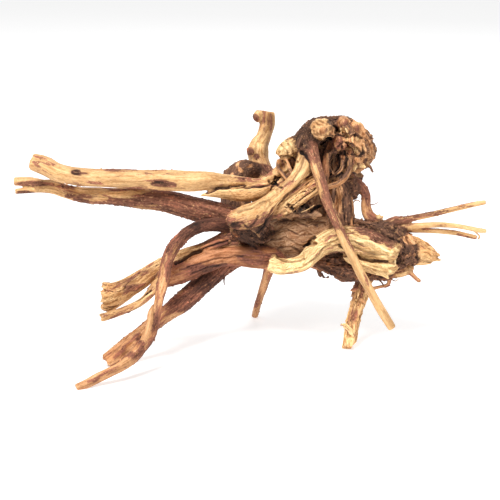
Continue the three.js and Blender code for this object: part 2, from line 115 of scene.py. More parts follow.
# Runs: each is a length of root through [across, up, away, radius] points.
# flute: how deep its grooves are. knobs: how much its girth swells and shrinks.
# flat: its thickness in depth over its width.
RUNS = {
    # Long pale arm at the upper left, and the split strip under it
    "upper_arm": {
        "flute": 0.05, "knobs": 0.04, "points": [
            [-219, 89, -46, 8.4], [-205, 84, -46, 9.2], [-193, 78, -45, 9.2], [-178, 74.5, -44, 9],
            [-160, 72.6, -43, 9.2], [-135, 71.7, -42, 9.1], [-110, 71, -41, 9.7], [-85, 70, -40, 10.2],
            [-60, 68.8, -39, 10.3], [-40, 69.5, -38, 8.9], [-22, 69.5, -37, 6.2], [-5, 69, -36, 4],
            [10, 68.5, -35, 3.2], [19, 72.5, -34, 4], [26, 77, -33, 5.2], [38, 84, -30, 5.5],
        ],
    },
    "split_strip": {
        "flute": 0.1, "knobs": 0.05, "points": [
            [-50, 54.5, -41, 0.8], [-38, 56.5, -41, 3.6], [-25, 57, -41, 6], [-12, 56, -41, 7.6],
            [0, 57, -40, 8.2], [12, 60, -38, 7.8], [24, 62, -36, 6.5], [36, 68, -32, 6],
            [46, 76, -28, 6],
        ],
    },
    # Second arm, with its forked tip, and the long root that leaves it and crosses the front
    "second_arm": {
        "flute": 0.07, "knobs": 0.04, "points": [
            [-214, 64, -22, 5], [-205, 63.5, -22, 6.9], [-195, 62.5, -22, 6.9], [-185, 58.7, -22, 6.6],
            [-175, 56, -22, 7.2], [-162, 54.4, -22, 8], [-145, 53.8, -22, 8.5], [-125, 52.9, -22, 9.3],
            [-105, 51.3, -22, 10.3], [-85, 49.2, -22, 10.8], [-70, 45.5, -22, 11.2],
            [-55, 41.5, -23, 11.8], [-40, 38, -24, 11.5], [-25, 35, -25, 10.5], [-5, 30, -22, 11],
        ],
    },
    "fork_upper": {
        "flute": 0.04, "knobs": 0.03, "points": [
            [-236, 68.5, -22, 4.4], [-225, 68.5, -22, 4.8], [-213, 66.5, -22, 5.2], [-202, 64, -22, 5],
        ],
    },
    "fork_lower": {
        "flute": 0, "knobs": 0, "points": [
            [-235, 58.5, -22, 2.8], [-222, 59.7, -22, 3.2], [-209, 61, -22, 4], [-198, 61, -22, 4],
        ],
    },
    "crossing_root": {
        "flute": 0.06, "knobs": 0.05, "points": [
            [-12, 24, -30, 7.5], [-26, 25, -36, 6.8], [-40, 25.4, -42, 6.4], [-50, 23.5, -47, 6.2],
            [-60, 18.8, -52, 6.3], [-69, 11, -57, 6.3], [-76, 3, -61, 6.2], [-81, -6, -65, 6],
            [-84, -16, -69, 5.8], [-86, -28, -73, 5.8], [-89, -40, -78, 5.4], [-91.5, -52, -82, 4.7],
            [-93, -64, -86, 4], [-95.5, -75, -90, 4.4], [-101, -87, -95, 5.8], [-108.5, -97.5, -100, 6],
            [-117.5, -107.5, -106, 6], [-128.5, -116, -112, 5.3], [-140, -122, -117, 5],
            [-152, -127.8, -121, 4.9], [-164, -134, -126, 4.7], [-174, -137.8, -129, 4.4],
        ],
    },
    "twist_strand": {
        "flute": 0, "knobs": 0, "points": [
            [-97, -55, -84, 1.4], [-99.5, -64, -88, 3.2], [-100, -73, -92, 3.8],
            [-102.5, -83, -96, 4.2], [-107, -92, -100, 4],
        ],
    },
    # Lower trunk, its torn left arm, the thin root under that, and the leg behind
    "lower_trunk": {
        "flute": 0.08, "knobs": 0.05, "points": [
            [40, 2, -10, 9], [24, -7, -24, 11], [8, -7, -31, 11], [-15, -4.8, -34, 10.8],
            [-30, -6, -35, 10.8], [-45, -10.7, -37, 11.3], [-60, -17, -39, 12], [-72, -21.7, -41, 12],
            [-82, -26.5, -43, 10.5], [-92, -32, -46, 7],
        ],
    },
    "torn_arm": {
        "flute": 0.09, "knobs": 0.05, "points": [
            [-12, 12, -30, 11], [-22, 9.5, -31, 9], [-36, 5.5, -33, 7], [-50, 0.5, -35, 5.7],
            [-62, -3.3, -37, 6], [-75, -8.5, -38, 6.8], [-88, -15, -40, 7.4], [-100, -23, -42, 8.2],
            [-110, -30, -43, 9.5], [-121, -36.8, -44, 10.2], [-132, -42.5, -45, 11.5],
            [-141, -46, -46, 13.8], [-148.5, -46, -46, 14.6],
        ],
    },
    "under_root": {
        "flute": 0.05, "knobs": 0.05, "points": [
            [-82, -27, -48, 5], [-93, -34.5, -52, 5], [-99, -42.3, -54, 4.8], [-105, -48.8, -55, 4.3],
            [-113, -54.2, -56, 4], [-125, -59.7, -57, 3.8], [-138, -64.5, -58, 4],
            [-150, -68, -59, 4.6],
        ],
    },
    "rear_leg": {
        "flute": 0.08, "knobs": 0.04, "points": [
            [5, 4, -4, 12], [-12, -5, -8, 11], [-28, -16.3, -14, 10.2], [-42, -29, -22, 10.2],
            [-55, -41.6, -30, 10], [-68, -52.8, -39, 9.6], [-82, -62.8, -49, 8.4],
            [-95, -72.6, -57, 7.8], [-108, -83.3, -64, 7.6], [-122, -94, -69, 7.8],
            [-134, -104, -72, 8.1], [-144.5, -111.5, -73.5, 7.7],
        ],
    },
    # Broad limb and torn plank that rise across the front to the crown, on a dark base
    "front_limb": {
        "flute": 0.06, "knobs": 0.04, "flat": 0.8, "points": [
            [-22, 29.5, -56, 4], [-18.5, 30, -57.5, 8.4], [-12, 31, -58, 10.6], [-4, 33, -58, 12],
            [6, 36.5, -57, 12], [15, 43, -56, 10], [23, 51, -55, 7.5], [32, 58.5, -54, 6.2],
            [41, 66, -53, 6.4], [49, 74.5, -51, 7.8], [54, 84, -48, 9.2], [57, 94, -42, 9],
            [60, 104, -34, 8],
        ],
    },
    "torn_plank": {
        "flute": 0.12, "knobs": 0.04, "flat": 0.6, "points": [
            [20, 31, -48, 2], [30, 39.5, -48, 7.5], [40, 48, -47, 9.8], [50, 56.5, -46, 10.4],
            [61, 63.5, -44, 10.4], [74, 69, -36, 9],
        ],
    },
    "limb_valley": {
        "flute": 0.05, "knobs": 0, "points": [
            [4, 18, -50, 8], [12, 28, -50, 7], [19, 39, -49, 5], [25, 48, -48, 4], [33, 55, -46, 4],
        ],
    },
    "limb_base": {
        "flute": 0.1, "knobs": 0.06, "points": [
            [-15, 27, -46, 9], [-5, 21, -43, 11.5], [4, 18, -36, 11], [10, 16, -26, 10],
            [14, 14, -14, 9],
        ],
    },
    # Heart of the root, its back and its neck
    "heart": {
        "flute": 0.06, "knobs": 0.05, "flat": 0.9, "points": [
            [4, 15, -12, 14], [22, 14, -13, 22], [42, 14, -14, 26.5], [60, 14.5, -13, 26.5],
            [78, 16, -11, 25], [98, 14, -10, 20], [116, 10, -12, 15],
        ],
    },
    "back": {
        "flute": 0.12, "knobs": 0.05, "points": [
            [-10, 14, 2, 13], [8, 18, 10, 16], [30, 24, 15, 19], [54, 32, 17, 20], [76, 46, 15, 18],
            [92, 62, 10, 15], [102, 80, 4, 13],
        ],
    },
    "neck": {
        "flute": 0.1, "knobs": 0.05, "points": [
            [68, 20, -2, 22], [74, 44, -2, 20], [80, 66, -6, 17], [86, 84, -8, 17], [88, 100, -12, 16],
        ],
    },
    "slab": {
        "flute": 0.1, "knobs": 0.06, "flat": 0.6, "points": [
            [84, 70, -20, 7], [89, 58, -24, 11], [91, 46, -26, 12.5], [91, 34, -26, 13.5],
            [92, 20, -24, 13],
        ],
    },
    "rear_stub": {
        "flute": 0.08, "knobs": 0.06,
        "points": [[50, 26, 18, 13], [57, 25, 34, 10.5], [62, 22, 47, 9], [65, 18, 57, 8.6]],
    },
    # Pale waved wood, its lower lip, the bark over it, its tail and the dark wood under it
    "pale_wave": {
        "flute": 0.08, "knobs": 0.03, "points": [
            [21, -13.5, -36, 9], [28, -16.5, -40, 8.8], [37, -17, -41, 8], [46, -15.5, -42, 8],
            [55, -12, -42, 8.2], [62, -4.5, -42, 9.2], [70, 3, -41, 10.4], [82, 8.7, -39, 11.8],
            [95, 10.5, -36, 13], [108, 9, -34, 14], [122, 4.5, -33, 14], [135, -1, -32, 12.8],
            [147, -5, -31, 11.8],
        ],
    },
    "lower_lip": {
        "flute": 0.08, "knobs": 0.04, "points": [
            [94, -5, -30, 5], [108, -11.5, -34, 6], [123, -16.5, -34, 7], [137, -19, -33, 6.5],
            [147, -16.5, -31, 5.5],
        ],
    },
    "bark_ridge": {
        "flute": 0.16, "knobs": 0.12, "points": [
            [90, 24, -18, 9], [106, 20.5, -20, 9.5], [122, 18, -22, 11], [138, 12, -22, 12.8],
            [152, 4, -22, 12.8], [162, -6, -22, 9.5], [168, -13, -22, 4.5],
        ],
    },
    "pale_tail": {
        "flute": 0.12, "knobs": 0.04, "flat": 0.7, "points": [
            [144, 10, -20, 8], [158, 3.5, -20, 11.4], [169, -1.5, -20, 11.2], [179, -5, -20, 8.4],
            [187, -7.5, -20, 4.6], [192.5, -8.8, -20, 2],
        ],
    },
    "tail_prong": {
        "flute": 0.06, "knobs": 0, "points": [
            [158, -9, -20, 4.5], [168, -11, -21, 4.4], [175, -12, -21, 3.3], [182, -13, -21, 1.2],
        ],
    },
    "under_wood": {
        "flute": 0.12, "knobs": 0.08, "points": [
            [56, -6, -16, 6], [72, -10.5, -16, 10], [90, -14, -15, 12.5], [106, -17, -14, 12.8],
            [121, -19.3, -14, 11.8], [134, -21.5, -15, 10], [145, -20.5, -16, 7],
            [157, -17.5, -18, 5.4],
        ],
    },
    # Legs under the right side
    "right_leg": {
        "flute": 0.08, "knobs": 0.06, "points": [
            [116, -14, -8, 9], [116, -24, -6, 8.4], [113.3, -34, -6, 8], [111, -44, -7, 8],
            [107.8, -55, -9, 7.3], [104, -68, -13, 6.8], [101.8, -80, -17, 6.6], [100, -90, -21, 6.8],
            [98.5, -98.5, -25, 6.8],
        ],
    },
    "leg_spur": {
        "flute": 0, "knobs": 0,
        "points": [[110, -38, -10, 3], [104, -40, -12, 2.2], [99.5, -40.5, -13, 0.9]],
    },
    "back_leg": {
        "flute": 0.04, "knobs": 0.05, "points": [
            [24, 8, -12, 9], [21.5, -6, -6, 6.5], [19.2, -18, 4, 5.2], [15.2, -31, 18, 4.4],
            [11, -44, 36, 3.9], [7.3, -56, 54, 3.5], [5, -65, 69, 3.2], [4.3, -67.8, 75, 3.1],
        ],
    },
    # Long straight stick that hangs from the crown across the front
    "long_stick": {
        "flute": 0.04, "knobs": 0.02, "points": [
            [56, 112, -28, 7], [60.5, 102, -40, 7.2], [64, 90, -49, 6.2], [67.5, 79, -54, 5.9],
            [71, 68, -57, 5.6], [74, 57, -60, 5.3], [78, 46, -62, 5.1], [84, 33, -62.5, 4.8],
            [91, 17, -61.5, 4.7], [99, 0, -58, 4.7], [105.5, -13, -52, 4.7], [112, -26, -48, 4.7],
            [120.3, -41, -43, 4.6], [128.7, -56, -38, 4.6], [136.5, -69, -33, 4.6],
            [142.4, -78.3, -30, 4.3],
        ],
    },
    # Crown: arch, left lobe, cut knob, right side, inner strands
    "crown_arch": {
        "flute": 0.09, "knobs": 0.06, "points": [
            [50, 84, -22, 9], [53, 98, -28, 11.5], [56.5, 109, -32, 12.5], [63.5, 117.5, -31, 11.5],
            [73, 124, -28, 9], [84, 127, -25, 6.5], [93, 127.5, -23, 6.5], [102, 122, -23, 7.5],
        ],
    },
    "left_lobe": {
        "flute": 0.12, "knobs": 0.1,
        "points": [[31.5, 93, -30, 6], [35, 98.5, -33, 8.4], [41, 102.5, -34, 9.4], [50, 106, -32, 9]],
    },
    "cut_knob": {
        "flute": 0.08, "knobs": 0.03, "points": [
            [76, 120, -22, 9], [73, 121, -36, 10.5], [71.5, 121.3, -47, 11], [70.5, 121, -57, 10.3],
        ],
    },
    "crown_right": {
        "flute": 0.13, "knobs": 0.1, "points": [
            [88, 125.5, -20, 7], [100, 121.5, -24, 9], [108, 113.5, -24, 10.5], [113, 102, -22, 11.5],
            [111.5, 92, -19, 9.5], [100.5, 84, -17, 9],
        ],
    },
    "inner_strand": {
        "flute": 0.08, "knobs": 0.06, "points": [
            [90, 114, -26, 7], [83, 102, -32, 6], [79, 91, -36, 5.5], [76, 80, -39, 5],
            [74, 68, -42, 4],
        ],
    },
    "hook_strand": {
        "flute": 0.04, "knobs": 0.05, "points": [
            [99, 92, -32, 3], [98.5, 80, -37, 3], [94, 71, -41, 3], [86, 65.5, -45, 3.1],
            [77, 63, -48, 3], [70, 61, -50, 2.8],
        ],
    },
    "lobe_strand_left": {
        "flute": 0, "knobs": 0, "points": [
            [29, 90, -30, 2.4], [28, 84, -36, 2.2], [32, 77, -41, 2.4], [38, 70, -46, 2.6],
            [45, 64, -48, 2.6],
        ],
    },
    "lobe_strand_right": {
        "flute": 0, "knobs": 0,
        "points": [[34, 94, -34, 2.2], [38, 86, -40, 2], [41.5, 78, -45, 2], [46, 71, -48, 2.2]],
    },
    # Root that leaves the crown on the right and comes back to the bark, and a stub where it lands
    "loop_root": {
        "flute": 0.06, "knobs": 0.06, "points": [
            [97, 71, -10, 7.5], [106, 66.5, -12, 5.8], [113, 61, -14, 5.2], [116, 53.5, -15, 4.7],
            [115.8, 45, -17, 4.7], [117.5, 37, -19, 5.2], [122.5, 30.5, -21, 6], [129, 23, -22, 6.5],
        ],
    },
    "loop_stub": {
        "flute": 0, "knobs": 0,
        "points": [[124, 28, -22, 4], [129, 32, -23, 3.3], [132.5, 35, -24, 2.9]],
    },
    # Thin roots at the right
    "twig_high": {
        "flute": 0.04, "knobs": 0.05, "points": [
            [132, 22, -20, 5.2], [144, 29, -23, 4.6], [155, 30.3, -24, 3.8], [168, 33, -25, 3.3],
            [185, 36.5, -26, 3], [202, 40.5, -28, 2.8], [218, 44.3, -29, 2.7], [228, 46.5, -30, 2.8],
            [236, 47.7, -31, 2.4],
        ],
    },
    "twig_middle": {
        "flute": 0, "knobs": 0.05, "points": [
            [140, 17, -20, 4.8], [150, 22, -21, 3.9], [160, 23.5, -22, 3.4], [175, 24.7, -22, 3],
            [190, 25.2, -23, 2.8], [205, 24.2, -24, 2.7], [220, 21.6, -25, 2.6], [230, 19.5, -26, 2.6],
            [236.5, 19, -26, 2.1],
        ],
    },
    "twig_low": {
        "flute": 0, "knobs": 0.04, "points": [
            [140, 16, -16, 4.4], [152, 20.2, -16, 3.4], [165, 20, -15, 3], [180, 19.4, -15, 2.8],
            [195, 18.3, -15, 2.7], [208, 16.7, -15, 2.6], [220, 14, -15, 2.5], [227, 12.4, -15, 2.2],
        ],
    },
    # Broken bits under the tail
    "broken_bit": {
        "flute": 0, "knobs": 0.05, "points": [
            [161, -16.5, -18, 3.8], [157, -21.5, -20, 3.5], [151, -24, -21, 3.6], [144, -25, -21, 3],
        ],
    },
    "broken_twig": {
        "flute": 0, "knobs": 0, "points": [
            [157, -20, -20, 2.8], [162, -24.5, -21, 2.4], [166, -28.5, -21, 2.1],
            [170.5, -32, -22, 2.4],
        ],
    },
    "ring_twig": {
        "flute": 0, "knobs": 0, "points": [
            [114, -40, -8, 2.4], [122, -38.5, -10, 1.9], [131, -36.5, -12, 1.8], [138, -34.5, -13, 2],
            [139.5, -28, -14, 2.5], [138, -21, -15, 3.4],
        ],
    },
    # Roots at the back
    "back_stub": {
        "flute": 0.06, "knobs": 0.04, "points": [
            [17.5, 138.5, 46, 7.4], [17, 133, 46, 8.2], [17.2, 126, 47, 8.2], [15.5, 119, 47, 7.6],
            [13, 112, 46, 7.6], [9.5, 105.5, 45, 9], [8, 99, 43, 10.4], [9, 91, 41, 9.8],
            [12, 84, 38, 9], [16, 76.5, 34, 8.8], [21, 66, 27, 11], [28, 50, 18, 14],
        ],
    },
    "dark_root": {
        "flute": 0.08, "knobs": 0.04, "points": [
            [-2, 12, 0, 13], [-10, 28, 4, 14.4], [-13.5, 44, 8, 14.6], [-14, 58, 12, 14.6],
            [-13, 71, 17, 14.4], [-7, 77.5, 24, 12.2], [3, 78.5, 32, 9.2], [12, 77, 36, 8],
        ],
    },
}

# Lumps: [across, up, away, half width, half height, half depth, roughness]
LUMPS = {
    "inner_knob": [89.5, 107, -37, 7, 7, 7, 0.12],
    "inner_mass": [96, 90, -24, 9, 13, 9, 0.16],
    "crown_top": [93, 125, -22, 9, 7, 9, 0.14],
    "crown_side": [116, 98.5, -16, 9.5, 10, 12, 0.2],
    "crown_back": [88, 108, -6, 22, 18, 15, 0.14],
    "crown_left": [43, 84, -17, 12, 14, 9, 0.14],
    "crown_under": [99, 61, -14, 10.5, 11, 11, 0.18],
    "crown_fringe": [103, 109.5, -29, 9, 6, 7, 0.24],
    "crown_bun": [93, 127, -28, 6.5, 7, 8, 0.08],
    "crown_bun_two": [105.5, 121, -26, 9, 7.5, 9, 0.1],
    "crown_core": [65, 89, -22, 13, 18, 8, 0.14],
    "knob_side": [79, 117, -50, 7, 6.5, 6, 0.16],
    "cross_back": [28, 70, -22, 11, 10, 7, 0.14],
    "limb_back": [14, 50, -34, 12, 11, 9, 0.12],
    "bark_low": [146, -12, -21, 11, 8, 7, 0.18],
    "stub_knob": [3.2, 98, 40, 6.5, 8.5, 8, 0.12],
    "stub_top": [8.5, 134, 44, 5.5, 6, 6.5, 0.12],
    "root_ear": [-22, 76.5, 14, 5, 4.5, 5, 0.16],
}

# Hollows: like lumps, cut away
HOLLOWS = {
    "under_knob": [78.5, 106, -44, 6, 9, 14, 0.1],
    "beside_knob": [87, 117.5, -44, 5, 4, 12, 0.1],
    "eye": [84.5, 87, -42, 4.2, 10, 13, 0.08],
    "shadow_gap": [57, 46.5, -29, 17, 7, 15, 0.14],
    "gap_right": [68.5, 44, -36, 3.8, 7, 18, 0.1],
    "limb_hollow": [50.5, 99.5, -54, 5, 5, 12, 0.08],
    "lobe_eye": [33.5, 84.5, -38, 3.4, 5.5, 9, 0.05],
    "wave_slit": [60, 6.5, -48, 8, 3.4, 15, 0.05],
    "cross_gap": [24.5, 66.5, -43, 3, 4.5, 8, 0.2],
    "heart_gap": [41, 42.5, -44, 5, 2.6, 10, 0.2],
    "foot_cut": [108, -101, -25, 9, 8.5, 14, 0.12],
}

# How finely the skin is made, in millimetres
RING_SPACING = 1.5
SIDE_WIDTH = 1.5
LEAST_SIDES = 12
MOST_SIDES = 96
LUMP_DETAIL = 5
HOLLOW_VOXEL = 1
GROUND_WIDTH = 1
GROUND_DEPTH = 0.2
WELD_GAP = 1e-7
SOFTENING = 8
SOFT_GIRTH = 10
CLEARANCE = 1.5
# The skin is cut where it would be too large to be one piece
SKIN_CUTS = (-15, 68)
SKIN_PIECES = ("left_roots", "heart_wood", "right_roots")
CUT_MARGIN = 1.5

# How open the skin is to light: a coarse copy, rays from each of its places, and how far they go
SHADE_VOXEL = 3
SHADE_SEED = 11
SHADE_RAYS = 28
SHADE_REACH = 30
CLEFT_REACH = 9

# Burrs: shares of the length and radius that they are given, and how far they curl
BURR_SEED = 5
BURR_SPACING = 1
BURR_SIDES = 8
BURR_FLUTE = 0.1
BURR_KNOBS = 0.1
BURR_PLACES = 5
BURR_REACH = (0.6, 1.3)
BURR_GIRTH = (0.7, 1.2)
BURR_CURL = 0.35

# Patterns in the wood, as long as this along the grain, then across it twice
GRAIN_PATTERNS = {
    "broad": (34, 6, 6), "fibres": (24, 3, 3), "threads": (10, 1.6, 1.6),
    "patches": (30, 7, 7), "small_patches": (12, 2.6, 2.6),
}
# Patterns as large as this every way
PLACE_PATTERNS = {"lumps": 11, "small_lumps": 4.5, "crackle": 2.6}
PATCH_SHARES = {"patches": 1, "small_patches": 0.6}
LUMP_SHARES = {"lumps": 1, "small_lumps": 0.6}
# How much each raises the wood, and the gnarled wood as well, in millimetres
WOOD_RELIEF = {"fibres": 0.6, "threads": 0.4, "broad": 0.3, "furrows": -0.55}
GNARLED_RELIEF = {"lumpy": 1.0, "folds": 1.3, "crackle": 0.7}
GNARLED_FROM = 1.1
BARK_THICKNESS = 0.3
BARK_CRACKLE = 0.45
SPLIT_DEPTH = 1.1
FOLD_SIZE = 8
FOLD_BEND = 6
FOLD_BEND_SIZE = 10
FOLD_SHARPNESS = 3
FOLD_SHIFTS = (0, 31.7, 71.3)
# Long lines that open in some stretches of the wood
SPLITS = {
    "size": (46, 5, 5), "shift": 9.3, "half_width": 0.05, "fade": 0.045,
    "stretch": (60, 16, 16), "stretch_shift": 4.1, "start": 0.02, "full": 0.14,
}
FURROWS = {
    "size": (26, 3.4, 3.4), "shift": 2.2, "half_width": 0.1, "fade": 0.09,
    "stretch": (30, 9, 9), "stretch_shift": 7.7, "start": -0.15, "full": 0.1,
}
# How rough wood is that has none of them, and all of them
SPLITTING = (0.45, 1.25)
CALM = 0.7
# Wood with a wavy grain, how long its waves are and how far they reach
WAVY = ("heart", "pale_wave", "lower_lip", "pale_tail", "wave")
WAVY_LENGTH = 8
WAVY_REACH = 3
WAVY_SHIFTS = (13.3, 51.9)
WAVY_FINENESS = 0.3
# Moves a pattern for each strand, so that no two strands are alike
STRAND_SHIFT = (37.3, 11.1, 5.7)
# How often what a strand gives its skin is evened out with what its neighbours give
BLENDING = 6
SLIM_GIRTH = 8
LEAST_SLIM = 0.25
PATCHINESS = 0.9
BROAD_TONE = 0.25
BARK_FADE = (0.35, 0.75)
# How much the furrows are darkened by painted shade, as a share of the splits
FURROW_SHADE = 0.55
HOLLOW_REACH = 8
# Marks and lines on the front: where they fade out, and how far the lines wander
MARK_REACH = 1.6
MARK_FADE = (-0.1, 1.3)
LINE_FADE = (1.5, 0.3)
LINE_WANDER = 1.2
LINE_WANDER_SIZE = 7
LINE_SHIFTS = (3.1, 8.7)
# Runs that the marks and lines behind them pass under
PLAIN_RUNS = ("long_stick",)
# Torn ends: how large their bites are, and how much deeper some are than others
TORN_SIZE = 3.2
TORN_UNEVENNESS = 1.3
# Rings on a cut end, and how near the end they begin
RING_TONE = 0.16
RING_WIDTH = 2.6
RING_GIRTH = 2
RING_FADE = (-0.9, -0.3)

# What the loose bits take from the skin they grow from
NUMBER, VECTOR, COLOUR = "FLOAT", "FLOAT_VECTOR", "FLOAT_COLOR"
ATTRIBUTE_FIELDS = {NUMBER: ("value", 1), VECTOR: ("vector", 3), COLOUR: ("color", 4)}
LOOK_KINDS = {
    "grain": VECTOR, "wood": COLOUR, "bark": COLOUR, "cover": NUMBER, "tone": NUMBER, "seam": NUMBER,
    "hollow": NUMBER, "splits": NUMBER, "cut": NUMBER, "open": NUMBER, "clear": NUMBER, "rough": NUMBER,
    "ahead": VECTOR,
}
BATCH_POINTS = 1000
# Flakes of bark: how many, their shape, how they lie, and where the skin has them
FLAKE_SEED = 3
FLAKE_COUNT = 4200
FLAKE_SIDES = 5
FLAKE_TAPER = 0.7
FLAKE_LENGTH = (1.4, 4.2)
FLAKE_WIDTH = (0.9, 2.2)
FLAKE_THICKNESS = (0.4, 0.8)
FLAKE_LIFT = (0, 0.3)
FLAKE_TILT = (-0.1, 0.5)
FLAKE_ROLL = (0, 0.5)
FLAKE_TONE = (0.02, 0.26)
FLAKE_COVER = (0.4, 0.9)
FLAKE_CLEAR = (0.4, 0.7)
FLAKES_ON_SMOOTH = 0.12
# Splinters of wood, in the same way
SPLINTER_SEED = 4
SPLINTER_COUNT = 3000
SPLINTER_SIDES = 4
SPLINTER_TAPER = 0.15
SPLINTER_LENGTH = (2, 5)
SPLINTER_WIDTH = (0.4, 0.9)
SPLINTER_FLATNESS = 0.7
SPLINTER_TILT = (0, 0.12)
SPLINTER_ROLL = (0, 0.12)
SPLINTER_TONE = (0, 0.2)
SPLINTER_RISE = 0.2
SPLINTER_COVER = (0.3, 0.8)
SPLINTER_CLEAR = (0.3, 0.6)
SPLINTERS_FROM = 0.95
SPLINTERS_ON_CUTS = 1.5
ROUGH_CUT = 0.7
STEEPEST = 0.8
# Hair roots
HAIR_SPACING = 1.2
HAIR_SIDES = 6
HAIR_KNOBS = 0.2
HAIR_TONE = -0.06

# The material's patterns: their size along the grain, then across it twice, in millimetres, and
# their detail, roughness and distortion
FINISH_PATTERNS = {
    "streaks": ((30, 3.2, 3.2), 4, 0.66, 0.6),
    "threads": ((13, 1.5, 1.5), 3, 0.65, 0.3),
    "stains": ((22, 6, 6), 4, 0.6, 0.8),
    "specks": ((3, 1.5, 1.5), 2, 0.6, 0.0),
}
# Tints: what a colour's red, green and blue are multiplied by
DARK_STREAK = (0.46, 0.33, 0.22)
PALE_STREAK = (1.2, 1.32, 1.55)
WARM_STAIN = (0.72, 0.52, 0.38)
DARK_THREAD = (0.38, 0.26, 0.17)
DARK_BARK = (0.34, 0.28, 0.25)
PALE_BARK = (2.0, 1.9, 1.7)
# Painted shade: the next four darken hollows (with dirt), clefts, closed-in places and splits
HOLLOW_DIRT_AND_SHADE = (0.24, 0.17, 0.12)
PAINTED_CLEFT_SHADE = (0.34, 0.25, 0.19)
PAINTED_SHADE = (0.34, 0.25, 0.20)
SPLIT_SHADE = (0.28, 0.19, 0.13)
WORN_EDGE = (1.4, 1.42, 1.4)
LEAST_TONE = 0.15
MOST_TONE = 1.45
BUMP_DEPTH = 0.6
SPECULAR = 0.35

# Stage: places in metres, powers in watts
FLOOR_SIZE = 100
FLOOR_GLOW = 0.5
FLOOR_ROUGHNESS = 0.9
FLOOR_SPECULAR = 0.1
LIT_PLACE = (0, 0, 0.08)
LIGHTS = [
    ("key", (-0.6, -0.8, 1.8), 0.7, 40),
    ("fill", (1.4, -1.2, 0.9), 1.2, 7),
    ("back", (0.3, 1.5, 1.3), 1.2, 10),
]
WORLD_LIGHT = 0.5
FARTHEST_SEEN = 100

